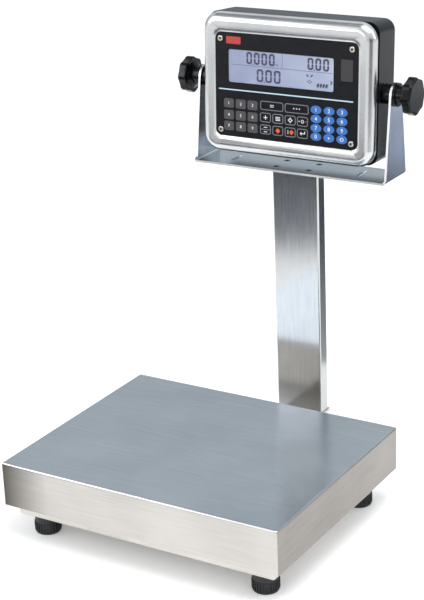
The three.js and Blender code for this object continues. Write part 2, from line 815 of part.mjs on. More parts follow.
function addHousing() {
  const rear = gasketFront + gasketDepth;
  const gasket = facing(skin([
    bezelRing(gasketInset, gasketFront),
    bezelRing(gasketInset, rear),
    bezelRing(gasketInset + gasketWidth, rear),
    bezelRing(gasketInset + gasketWidth, gasketFront),
  ], true));
  add('housing_gasket', gasket, blackRubber(), indicator);
  add('rear_housing', housingGeometry(), blackPlastic(), indicator);
  const boardY = panelFace + 12;
  add('main_board', block(-boardWidth / 2, boardWidth / 2, boardY, boardY + boardThickness,
    panelRise - boardHeight / 2, panelRise + boardHeight / 2), boardGreen(), indicator);
  const batteryRear = housingRear - housingWall - gap;
  add('battery_pack', block(-batteryWidth / 2, batteryWidth / 2, batteryRear - batteryDepth, batteryRear,
    panelRise - batteryHeight / 2 + 10, panelRise + batteryHeight / 2 + 10), batteryGrey(), indicator);
  addGlands();
}

// Cable glands on the back: a hexagon flange, a dome nut and an empty bore.
function addGlands() {
  const back = housingRear + gap;
  const rings = [
    roundRing(glandRadius, back, 16),
    roundRing(glandRadius, back + 5, 16),
    roundRing(glandRadius - 1.5, back + 5.5, 16),
    roundRing(glandRadius - 1.5, back + 12, 16),
    roundRing(glandRadius - 4, back + glandLength, 16),
    roundRing(glandBore, back + glandLength, 16),
    roundRing(glandBore, back + 3, 16),
  ];
  const gland = facing(skin(rings));
  const glandZ = bezelRise - bezelHeight / 2 + glandRise;
  const names = { load_cell_gland: -1, power_gland: 1 };
  for (const [name, side] of Object.entries(names)) {
    add(name, gland.clone(), blackPlastic(), indicator)
      .position.set((side * glandSpread) / 2, 0, glandZ);
  }
}

// ---- Pivot ----

// Solids along +z from an arm's outside, turned to point outwards along X.
const outward = (geometry, side) => geometry.rotateY((side * Math.PI) / 2);

function addPivots() {
  const bossIn = bezelWidth / 2 - housingSide(-bossRadius) + gap;
  const bossOut = armInside - gap;
  const knobIn = bracketWidth / 2 + gap;
  const studEnd = knobIn + knobLength - 8;
  const studStart = bossOut - studEngage;
  for (const side of [-1, 1]) {
    const name = side < 0 ? 'left' : 'right';
    const boss = skin([
      roundRing(bossRadius, bossIn, 24),
      roundRing(bossRadius, bossOut, 24),
      roundRing(studRadius + gap, bossOut, 24),
      roundRing(studRadius + gap, bossIn, 24),
    ], true);
    add(`pivot_boss_${name}`, outward(boss, side), blackPlastic(), indicator);
    add(`knob_stud_${name}`, outward(post(studRadius, studStart, studEnd - gap), side), zinc(), indicator);
    add(`knob_${name}`, outward(knobGeometry(knobIn, studEnd), side), blackPlastic(), indicator);
  }
}

// A clamping knob: a round hub that flares into a lobed head, bored for its stud.
function knobGeometry(start, boreEnd) {
  const sides = knobLobes * 4;
  const end = start + knobLength;
  const back = end - knobHead;
  const lobe = (depth) => (angle) => -depth * (0.5 - 0.5 * Math.cos(knobLobes * angle));
  return skin([
    roundRing(studRadius + gap, boreEnd, sides),
    roundRing(studRadius + gap, start, sides),
    roundRing(knobHub - 1, start, sides),
    roundRing(knobHub, start + 1, sides),
    roundRing(knobHub, back - 3, sides),
    roundRing(knobRadius - 1, back, sides, lobe(2)),
    roundRing(knobRadius, back + 1.5, sides, lobe(2.4)),
    roundRing(knobRadius, end - 4, sides, lobe(2.4)),
    roundRing(knobFace + 1, end - 0.6, sides, lobe(1)),
    roundRing(knobFace, end, sides),
  ]);
}

// ---- Assembly ----

add('platter', platterGeometry(), brushed());
addBaseFrame();
addLoadCell();
addUpperFrame();
addFeet();
addColumn();
addBracket();
addFrontPanel();
addHousing();
addPivots();

// The model is drawn from the platter's front edge, then centred front to back.
scale.updateMatrixWorld(true);
const extent = new THREE.Box3().setFromObject(scale, true);
scale.position.y = -(extent.min.y + extent.max.y) / 2;

export default scale;
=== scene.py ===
"""Bench scale: a stainless platform, a rear column and a tilting indicator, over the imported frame."""

import json
import math

import bmesh
import bpy
from mathutils import Matrix, Vector


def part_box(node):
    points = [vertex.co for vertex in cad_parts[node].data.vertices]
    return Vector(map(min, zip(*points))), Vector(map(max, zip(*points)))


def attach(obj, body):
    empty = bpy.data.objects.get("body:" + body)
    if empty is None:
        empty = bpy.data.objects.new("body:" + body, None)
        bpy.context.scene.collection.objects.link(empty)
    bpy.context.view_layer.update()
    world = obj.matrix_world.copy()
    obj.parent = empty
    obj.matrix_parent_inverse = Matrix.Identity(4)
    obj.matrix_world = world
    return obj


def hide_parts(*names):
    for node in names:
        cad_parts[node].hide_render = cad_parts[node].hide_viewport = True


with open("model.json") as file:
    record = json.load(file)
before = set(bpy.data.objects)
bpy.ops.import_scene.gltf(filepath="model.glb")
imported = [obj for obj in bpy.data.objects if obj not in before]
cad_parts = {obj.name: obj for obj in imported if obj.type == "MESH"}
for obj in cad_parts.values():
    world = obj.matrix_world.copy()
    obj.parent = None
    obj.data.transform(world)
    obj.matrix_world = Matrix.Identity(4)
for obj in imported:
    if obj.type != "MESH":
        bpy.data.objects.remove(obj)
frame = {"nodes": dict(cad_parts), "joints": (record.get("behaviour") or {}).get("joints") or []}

bl_info = {
    "name": "Bench scale",
    "version": (1, 0, 0),
    "blender": (4, 5, 0),
    "location": "View3D > Sidebar > Bench scale",
    "description": "Builds the visible pieces of a bench scale round its CAD frame",
    "category": "Object",
}

MM = 0.001
X, Y, Z = 0, 1, 2

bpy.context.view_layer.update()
TILT_JOINT = next(j for j in frame["joints"] if j["name"] == "indicator_tilt")

# ---- The indicator's own axes: x to the right, y backwards, z up, origin on the pivot ----

PIVOT = Vector(TILT_JOINT["pos_m"])
LEAN = math.radians(-3.05)  # the indicator leans back at rest
UPRIGHT = (Matrix.Translation(PIVOT) @ Matrix.Rotation(LEAN, 4, "X")).inverted()


def own_box(name):
    """A node's lowest and highest corners in the indicator's own axes."""
    corners = [UPRIGHT @ vertex.co for vertex in frame["nodes"][name].data.vertices]
    return tuple(Vector([pick(c[i] for c in corners) for i in (X, Y, Z)]) for pick in (min, max))


BEZEL_LOW, BEZEL_HIGH = own_box("front_bezel")
FACE = BEZEL_LOW.y  # the bezel's flat face
BEZEL_MIDDLE = (BEZEL_LOW.z + BEZEL_HIGH.z) / 2
BEZEL_WIDTH = BEZEL_HIGH.x - BEZEL_LOW.x
BEZEL_HEIGHT = BEZEL_HIGH.z - BEZEL_LOW.z

FILM_LOW, FILM_HIGH = own_box("keypad_overlay")
FILM_FACE, FILM_BACK = FILM_LOW.y, FILM_HIGH.y
PANEL_LOW = FILM_LOW.z
PANEL_MIDDLE = (FILM_LOW.z + FILM_HIGH.z) / 2
PANEL_WIDTH = FILM_HIGH.x - FILM_LOW.x
PANEL_HEIGHT = FILM_HIGH.z - FILM_LOW.z
CELL_FACE = own_box("display_module")[0].y

# The window's left, right, low and high sides on the panel, in millimetres.
WINDOW_LOW, WINDOW_HIGH = own_box("display_window")
WINDOW = (WINDOW_LOW.x / MM, WINDOW_HIGH.x / MM,
          (WINDOW_LOW.z - PANEL_LOW) / MM, (WINDOW_HIGH.z - PANEL_LOW) / MM)


# ---- Colour and materials ----


def linear(hex_colour):
    """An sRGB hex colour as linear red, green and blue."""
    channels = [int(hex_colour[i:i + 2], 16) / 255 for i in (1, 3, 5)]
    return tuple(c / 12.92 if c <= 0.04045 else ((c + 0.055) / 1.055) ** 2.4 for c in channels)


def opaque(hex_colour):
    return (*linear(hex_colour), 1.0)


def node(tree, kind, inputs=None, **settings):
    """Adds a node with its own settings, and its sockets' values or links."""
    made = tree.nodes.new(kind)
    for name, value in settings.items():
        setattr(made, name, value)
    for name, value in (inputs or {}).items():
        if isinstance(value, bpy.types.NodeSocket):
            tree.links.new(value, made.inputs[name])
        else:
            made.inputs[name].default_value = value
    return made


def blank(name):
    """An empty node material and its tree."""
    made = bpy.data.materials.new(name)
    made.use_nodes = True
    made.node_tree.nodes.clear()
    return made, made.node_tree


def ramp(tree, factor, stops):
    """A colour ramp from a factor; stops are (place, hex colour)."""
    made = node(tree, "ShaderNodeValToRGB", {"Fac": factor})
    elements = made.color_ramp.elements
    while len(elements) > len(stops):
        elements.remove(elements[-1])
    while len(elements) < len(stops):
        elements.new(1.0)
    for element, (place, colour) in zip(elements, stops):
        element.position = place
        element.color = opaque(colour)
    return made.outputs["Color"]


def texture_factor(tree, size, detail=2.0, roughness=0.5, stretch=(1, 1, 1)):
    """Noise whose marks are size metres across, times stretch along each axis."""
    coords = node(tree, "ShaderNodeTexCoord").outputs["Object"]
    scales = [1 / (size * s) for s in stretch]
    mapped = node(tree, "ShaderNodeMapping", {"Vector": coords, "Scale": scales})
    noise = node(tree, "ShaderNodeTexNoise", {
        "Vector": mapped.outputs["Vector"], "Scale": 1.0, "Detail": detail, "Roughness": roughness,
    })
    return noise.outputs["Fac"]


def spread(tree, factor, low, high, start=0.25, end=0.75):
    """Maps a noise factor to a range of values."""
    made = node(tree, "ShaderNodeMapRange", {
        "Value": factor, "From Min": start, "From Max": end, "To Min": low, "To Max": high,
    })
    return made.outputs["Result"]


def blend(tree, factor, a, b, kind="FLOAT"):
    """Mixes two values, or two colours where kind is RGBA."""
    mixed = node(tree, "ShaderNodeMix", {"Factor": factor, "A": a, "B": b}, data_type=kind)
    return mixed.outputs["Result"]


def place_along(tree, axis):
    """Where a point of the piece is along an axis, in metres."""
    coords = node(tree, "ShaderNodeTexCoord").outputs["Object"]
    return node(tree, "ShaderNodeSeparateXYZ", {"Vector": coords}).outputs[axis]


def end_material(tree, sockets, height=None, strength=1.0, distance=0.001):
    """Ends a material in a principled shader; a height, if given, is its bump, distance metres deep."""
    if height is not None:
        bump = node(tree, "ShaderNodeBump", {
            "Height": height, "Strength": strength, "Distance": distance,
        })
        sockets = {**sockets, "Normal": bump.outputs["Normal"]}
    shader = node(tree, "ShaderNodeBsdfPrincipled", sockets)
    node(tree, "ShaderNodeOutputMaterial", {"Surface": shader.outputs["BSDF"]})


def brushed_stainless(name, along, dark, light, roughness, shaded_end=None):
    """Austenitic sheet, belt brushed along one axis: fine parallel lines stretch every reflection
    across them, and broad faint clouds keep a large face from looking flat. The last argument,
    if given, is (start, end, hex colour) for an end of the sheet, along X, painted darker as painted shade."""
    made, tree = blank(name)
    # Real lines are about 0.1 mm apart; they are drawn at 0.7 mm so that they show.
    stretch = [1, 1, 1]
    stretch[along] = 90
    lines = texture_factor(tree, 0.7 * MM, detail=3.0, stretch=stretch)
    stretch[along] = 14
    strokes = texture_factor(tree, 4 * MM, detail=2.0, stretch=stretch)
    clouds = texture_factor(tree, 90 * MM, detail=2.0)
    tone = blend(tree, 0.4, blend(tree, 0.22, lines, strokes), clouds)
    colour = ramp(tree, tone, [(0.36, dark), (0.64, light)])
    # Painted shade: one end of the sheet, along X, is blended towards a darker grey.
    if shaded_end:
        start, end, grey = shaded_end
        factor = spread(tree, place_along(tree, "X"), 1.0, 0.0, start, end)
        colour = blend(tree, factor, colour, opaque(grey), "RGBA")
    end_material(tree, {
        "Base Color": colour, "Metallic": 1.0, "Roughness": spread(tree, tone, *roughness),
    }, lines, 0.25, 0.00004)
    return made


def polished_stainless(name):
    """Pressed stainless, satin polished: soft reflections under a hair-fine lengthwise haze."""
    made, tree = blank(name)
    haze = texture_factor(tree, 0.8 * MM, detail=3.0, stretch=(80, 1, 1))
    clouds = texture_factor(tree, 60 * MM, detail=2.0)
    tone = blend(tree, 0.5, haze, clouds)
    colour = ramp(tree, tone, [(0.35, "#c6c9cb"), (0.65, "#dcddde")])
    end_material(tree, {
        "Base Color": colour, "Metallic": 1.0, "Roughness": spread(tree, haze, 0.2, 0.28),
    }, haze, 0.06, 0.00003)
    return made


def cast_metal(name, dark, light, roughness, grain):
    """Plain machined or plated metal: an even skin with a small grain, and duller spots."""
    made, tree = blank(name)
    spots = texture_factor(tree, grain, detail=3.0)
    clouds = texture_factor(tree, grain * 14, detail=2.0)
    colour = ramp(tree, clouds, [(0.3, dark), (0.7, light)])
    end_material(tree, {
        "Base Color": colour, "Metallic": 1.0,
        "Roughness": spread(tree, spots, roughness - 0.06, roughness + 0.08),
    }, spots, 0.2, 0.00005)
    return made


def moulded(name, dark, light, roughness, grain, ior=1.5, depth=0.00008, coat=0.0, level=0.5):
    """Moulded plastic or rubber: spark-eroded grain from the tool, and faint flow clouds."""
    made, tree = blank(name)
    pits = texture_factor(tree, grain, detail=3.0, roughness=0.6)
    clouds = texture_factor(tree, grain * 26, detail=2.0)
    colour = ramp(tree, clouds, [(0.3, dark), (0.7, light)])
    end_material(tree, {
        "Base Color": colour, "Metallic": 0.0, "IOR": ior,
        "Roughness": spread(tree, pits, roughness - 0.05, roughness + 0.07),
        "Specular IOR Level": level, "Coat Weight": coat, "Coat Roughness": 0.08,
    }, pits, 0.3, depth)
    return made


def screen_ink(name, colour, darker, roughness=0.38):
    """Screen-printed ink on polyester: solid colour with the faint mottling of the mesh."""
    made, tree = blank(name)
    # A print mesh has about 0.1 mm between threads; drawn at 0.5 mm so that it shows.
    mottle = texture_factor(tree, 0.5 * MM, detail=2.0)
    tint = ramp(tree, mottle, [(0.35, darker), (0.65, colour)])
    end_material(tree, {
        "Base Color": tint, "Metallic": 0.0, "IOR": 1.5,
        "Roughness": spread(tree, mottle, roughness - 0.05, roughness + 0.05),
    }, mottle, 0.12, 0.00003)
    return made


def acrylic(name):
    """Cast acrylic: clear and glossy, with the slightest ripple."""
    made, tree = blank(name)
    ripple = texture_factor(tree, 30 * MM, detail=1.0)
    tint = ramp(tree, ripple, [(0.3, "#f1f3f8"), (0.7, "#ffffff")])
    end_material(tree, {
        "Base Color": tint, "IOR": 1.49, "Roughness": 0.04, "Transmission Weight": 1.0,
    }, ripple, 0.05, 0.0001)
    return made


def lit_cell(name):
    """A backlit liquid-crystal cell: pale lavender, brighter to the right, with a diffuser's grain."""
    made, tree = blank(name)
    place = spread(tree, place_along(tree, "X"), 0.0, 1.0, WINDOW[0] * MM, WINDOW[1] * MM)
    grain = texture_factor(tree, 0.6 * MM, detail=1.0)
    colour = ramp(tree, blend(tree, 0.12, place, grain), [
        (0.0, "#98a3c2"), (0.55, "#a3aecb"), (1.0, "#bcc5d9"),
    ])
    end_material(tree, {
        "Base Color": colour, "Roughness": 0.5, "Emission Color": colour, "Emission Strength": 0.3,
    })
    return made


MATERIALS = {}

# Finish: name, the axis the belt ran along, darkest and lightest tone, least and most roughness.
BRUSHED = {
    # The platter's top, front and side are one folded sheet in three tones, which are painted light: the
    # top painted blue-grey as a painted reflection, the side painted darker as painted shade.
    "top_sheet": ("brushed_stainless_top_painted_reflection", X, "#a3acb5", "#b4bcc3", (0.15, 0.21)),
    "front_sheet": ("brushed_stainless_front", X, "#b5b2ae", "#c9c6c2", (0.26, 0.38)),
    "side_sheet": ("brushed_stainless_side_painted_shade", Y, "#87837f", "#9c9793", (0.24, 0.34)),
    "column_sheet": ("brushed_stainless_column", Z, "#b4b5b6", "#cfd0d0", (0.12, 0.2)),
    "bracket_sheet": ("brushed_stainless_bracket", X, "#b3bac0", "#ccd2d6", (0.17, 0.26)),
    # The arms and the bottom are one bent sheet; the arms are painted lighter, as painted light.
    "arm_sheet": ("brushed_stainless_arm_painted_light", Z, "#c3cad1", "#dde3e8", (0.15, 0.22)),
    "tube": ("brushed_stainless_tube", X, "#bdbab4", "#d6d3cd", (0.3, 0.42)),
    "tube_side": ("brushed_stainless_tube_side", Y, "#a8a39d", "#c0bbb5", (0.3, 0.42)),
    # Painted highlight: the fold is painted near white, so that it shows as a pale line.
    "fold": ("fold_painted_highlight", X, "#f0f1f2", "#fdfdfd", (0.3, 0.4)),
    # Cut by laser and left matt, and painted paler than the sheet as a painted highlight: a pale, even rim
    # round the bracket.
    "cut_edge": ("cut_edge_painted_highlight", Z, "#dddfe0", "#f1f2f2", (0.3, 0.42)),
}

# Painted shade: the darker left end of the platter's front sheet, from x to x, in metres, and its colour.
PAINTED_SHADE_END = (-0.2, -0.13, "#4f4c47")

# Finish: the ink's name, its colour, and the darker one where the mesh mottles it.
INKS = {
    "grey_key": ("grey_key_ink", "#4a484c", "#3b393d"),
    "outline": ("grey_outline_ink", "#7b8088", "#646971"),
    "blue_key": ("blue_key_ink", "#3270bd", "#285fa8"),
    "white_ink": ("white_ink", "#eef0f2", "#d3d6da"),
    "pale_line": ("pale_blue_ink", "#c3dbe7", "#a9c7d6"),
    "orange_ink": ("orange_ink", "#e85a24", "#cf4a1a"),
    "badge": ("red_badge_ink", "#b9352b", "#9f2b23"),
}


def make_materials():
    """Makes every finish of the scale once, under the name that the pieces ask for."""
    for finish, look in BRUSHED.items():
        shaded_end = PAINTED_SHADE_END if finish == "front_sheet" else None
        MATERIALS[finish] = brushed_stainless(*look, shaded_end=shaded_end)
    for finish, ink in INKS.items():
        MATERIALS[finish] = screen_ink(*ink)
    MATERIALS.update({
        "polished": polished_stainless("polished_stainless"),
        "weld": cast_metal("weld_bead_stainless", "#8f8b85", "#b9b4ab", 0.38, 1.1 * MM),
        "aluminium": cast_metal("anodised_aluminium", "#b4b7ba", "#c9cccf", 0.38, 0.5 * MM),
        "zinc": cast_metal("zinc_plated_steel", "#b7b2a6", "#d4d0c6", 0.24, 0.5 * MM),
        "black_oxide": cast_metal("black_oxide_steel", "#2c2e31", "#3d4044", 0.36, 0.5 * MM),
        "black_nylon": moulded("moulded_black_nylon", "#06080a", "#0d1013", 0.2, 0.8 * MM, coat=0.06,
                               level=0.22),
        "black_abs": moulded("moulded_black_abs", "#0b0d10", "#15181c", 0.28, 0.9 * MM, level=0.22),
        "rubber": moulded("moulded_black_rubber", "#16181b", "#22252a", 0.48, 0.9 * MM, ior=1.52),
        "gasket": moulded("silicone_gasket", "#08090a", "#101214", 0.55, 0.8 * MM, ior=1.41),
        "film": moulded("polyester_film", "#0d0e13", "#15161c", 0.3, 0.6 * MM, ior=1.57, depth=0.00003,
                        level=0.15),
        "sensor": screen_ink("smoked_window_ink", "#353236", "#2b292c", 0.3),
        "acrylic": acrylic("acrylic_window"),
        "cell": lit_cell("backlit_display_cell"),
        "crystal": screen_ink("dark_liquid_crystal", "#171b66", "#121552", 0.6),
        "board": moulded("solder_mask_green", "#154525", "#1f5a34", 0.4, 0.9 * MM),
        "battery": moulded("battery_wrap", "#3f444a", "#565b61", 0.35, 0.9 * MM),
    })


# ---- Modelling ----


def clear_selection():
    """Leaves edit mode and deselects everything."""
    if bpy.context.object is not None and bpy.context.object.mode != "OBJECT":
        bpy.ops.object.mode_set(mode="OBJECT")
    bpy.ops.object.select_all(action="DESELECT")


def only(piece):
    """Selects one piece and makes it the active one."""
    clear_selection()
    piece.select_set(True)
    bpy.context.view_layer.objects.active = piece


def fix_place(piece):
    """Puts a piece's place, turn and size into its mesh."""
    only(piece)
    bpy.ops.object.transform_apply(location=True, rotation=True, scale=True)
    return piece


def named(name):
    made = bpy.context.object
    made.name = name
    made.data.name = name
    return fix_place(made)


def block(name, low, high):
    """A block between two corners."""
    low, high = Vector(low), Vector(high)
    clear_selection()
    bpy.ops.mesh.primitive_cube_add(size=1, location=(low + high) / 2, scale=high - low)
    return named(name)


AXIS_TURN = {X: (0, math.pi / 2, 0), Y: (-math.pi / 2, 0, 0), Z: (0, 0, 0)}


def rod(name, radius, start, end, axis, middle, sides=64):
    """A cylinder along an axis, from start to end on it, round the middle's other two places."""
    centre = list(middle)
    centre[axis] = (start + end) / 2
    clear_selection()
    bpy.ops.mesh.primitive_cylinder_add(vertices=sides, radius=radius, depth=abs(end - start),
                                        location=centre, rotation=AXIS_TURN[axis])
    return named(name)


def edit(piece):
    only(piece)
    bpy.ops.object.mode_set(mode="EDIT")


def leave():
    bpy.ops.object.mode_set(mode="OBJECT")


def choose(piece, kind, test):
    """Selects the vertices, edges or faces that pass a test, in edit mode."""
    bpy.ops.mesh.select_mode(type=kind)
    bpy.ops.mesh.select_all(action="DESELECT")
    mesh = bmesh.from_edit_mesh(piece.data)
    for element in {"VERT": mesh.verts, "EDGE": mesh.edges, "FACE": mesh.faces}[kind]:
        if test(element):
            element.select_set(True)
    mesh.select_flush_mode()
    bmesh.update_edit_mesh(piece.data)


def along(axis):
    """A test for edges that run along an axis."""
    others = [i for i in (X, Y, Z) if i != axis]
    return lambda edge: all(abs(edge.verts[0].co[i] - edge.verts[1].co[i]) < 1e-6 for i in others)


def at(axis, place):
    """A test for edges or faces that lie at one place on an axis."""
    return lambda element: all(abs(v.co[axis] - place) < 1e-6 for v in element.verts)


def round_edges(piece, test, radius, segments=6):
    """Rounds the edges that pass a test."""
    edit(piece)
    choose(piece, "EDGE", test)
    bpy.ops.mesh.bevel(offset=radius, segments=segments, affect="EDGES")
    leave()
    return piece


def delete_faces(piece, test):
    edit(piece)
    choose(piece, "FACE", test)
    bpy.ops.mesh.delete(type="FACE")
    leave()
    return piece


def step_face(piece, test, inset, move):
    """Insets the faces that pass a test, then extrudes them by a vector."""
    edit(piece)
    choose(piece, "FACE", test)
    bpy.ops.mesh.inset(thickness=inset)
    bpy.ops.mesh.extrude_region_move(TRANSFORM_OT_translate={"value": move})
    leave()
    return piece


def apply_modifier(piece, kind, **settings):
    only(piece)
    modifier = piece.modifiers.new("shape", kind)
    for name, value in settings.items():
        setattr(modifier, name, value)
    bpy.ops.object.modifier_apply(modifier=modifier.name)
    return piece


def combine(piece, tools, operation="DIFFERENCE"):
    """Cuts, joins or intersects a piece with tools, which are used up."""
    for tool in tools:
        apply_modifier(piece, "BOOLEAN", object=tool, operation=operation, solver="EXACT")
        bpy.data.objects.remove(tool)
    return piece


def copy_of(piece, name, move):
    """A copy with its own mesh, moved."""
    made = piece.copy()
    made.data = piece.data.copy()
    made.name = made.data.name = name
    bpy.context.scene.collection.objects.link(made)
    made.matrix_world = Matrix.Translation(move)
    return fix_place(made)


def join(pieces, name):
    """Joins pieces into the first one."""
    clear_selection()
    for piece in pieces:
        piece.select_set(True)
    bpy.context.view_layer.objects.active = pieces[0]
    if len(pieces) > 1:
        bpy.ops.object.join()
    pieces[0].name = pieces[0].data.name = name
    return pieces[0]


def smooth(piece, soften=0.0, segments=2, angle=35):
    """Breaks the sharp edges by a small round, then shades the piece smooth between its folds."""
    if soften:
        apply_modifier(piece, "BEVEL", width=soften, segments=segments, limit_method="ANGLE",
                       angle_limit=math.radians(angle))
    only(piece)
    bpy.ops.object.shade_smooth_by_angle(angle=math.radians(angle))
    apply_modifier(piece, "WEIGHTED_NORMAL", keep_sharp=True, weight=80)
    return piece


def paint(piece, finish, by_face=()):
    """Gives a piece its finish; by_face lists (finish, test of a face) for the rest."""
    piece.data.materials.clear()
    piece.data.materials.append(MATERIALS[finish])
    for other, _ in by_face:
        piece.data.materials.append(MATERIALS[other])
    for face in piece.data.polygons:
        for index, (_, test) in enumerate(by_face, start=1):
            if test(face):
                face.material_index = index
    return piece


def lean_back(piece):
    """Takes a piece from the indicator's own axes to its place on the scale."""
    piece.matrix_world = Matrix.Translation(PIVOT) @ Matrix.Rotation(LEAN, 4, "X")
    return fix_place(piece)


def settle(piece, finish, body, slot, replaces=(), by_face=(), lean=False, **rounding):
    """Smooths and paints a piece, then puts it on its body and hides the nodes that it stands for; slot is
    not used.
    lean is for a piece that was made in the indicator's own axes."""
    smooth(piece, **rounding)
    paint(piece, finish, by_face)
    if lean:
        lean_back(piece)
    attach(piece, body)
    if replaces:
        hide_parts(*replaces)


def finish_cad(names, finish):
    """Gives carried-over CAD nodes their finish."""
    for name in names:
        piece = frame["nodes"][name]
        piece.data.materials.clear()
        piece.data.materials.append(MATERIALS[finish])


# ---- Sizes and colours that a user may change ----


def length(name, description, default):
    return bpy.props.FloatProperty(name=name, description=description, default=default,
                                   unit="LENGTH", precision=5)


class BENCHSCALE_PG_platform(bpy.types.PropertyGroup):
    sheet: length("Sheet", "Thickness of the platter's sheet", 1.5 * MM)
    corner: length("Corner", "Radius of the platter's upright corners", 3.0 * MM)
    fold: length("Fold", "Radius of the fold round the platter's top", 2.5 * MM)
    ribs: bpy.props.IntProperty(name="Foot ribs", description="Ribs round each foot's pad",
                                default=28, min=12)
    rib_height: length("Rib height", "How far a foot's ribs stand out", 1.4 * MM)


class BENCHSCALE_PG_column(bpy.types.PropertyGroup):
    wall: length("Wall", "Wall of the column's tube", 2.0 * MM)
    corner: length("Corner", "Radius of the tube's edges", 2.5 * MM)
    bracket_sheet: length("Bracket sheet", "Thickness of the tilt bracket", 3.0 * MM)
    bend: length("Bend", "Outer radius of the bracket's bends", 4.5 * MM)
    tip: length("Tip", "Radius of an arm's end round the pivot", 16.0 * MM)


class BENCHSCALE_PG_indicator(bpy.types.PropertyGroup):
    corner: length("Corner", "Radius of the bezel's corners", 24.0 * MM)
    roll: length("Roll", "Radius of the bezel's rolled edge", 12.0 * MM)
    rim: length("Rim", "Width of the slope down to the panel", 4.5 * MM)
    outline: length("Outline", "Width of the outlines round the keys", 1.0 * MM)
    segment: length("Segment", "Width of a display segment", 2.7 * MM)
    flutes: bpy.props.IntProperty(name="Flutes", description="Shallow flutes round each knob",
                                  default=8, min=3)


class BENCHSCALE_PG_stage(bpy.types.PropertyGroup):
    lens: bpy.props.FloatProperty(name="Lens", description="Focal length in millimetres", default=101.5)
    camera_at: bpy.props.FloatVectorProperty(
        name="Camera", description="Where the camera stands", subtype="TRANSLATION", unit="LENGTH",
        default=(1.06038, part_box("platter")[0].y - 1.49524, 1.03696))
    yaw: bpy.props.FloatProperty(name="Yaw", description="Turn to the left of straight ahead",
                                 subtype="ANGLE", default=math.radians(32.03))
    pitch: bpy.props.FloatProperty(name="Pitch", description="Tilt below the horizon",
                                   subtype="ANGLE", default=math.radians(20.54))
    roll: bpy.props.FloatProperty(name="Roll", description="Turn about the line of sight",
                                  subtype="ANGLE", default=math.radians(-2.321))
    floor: bpy.props.FloatVectorProperty(name="Floor", description="Colour of the floor",
                                         subtype="COLOR", default=linear("#f7f7f7"))


# ---- Stage ----


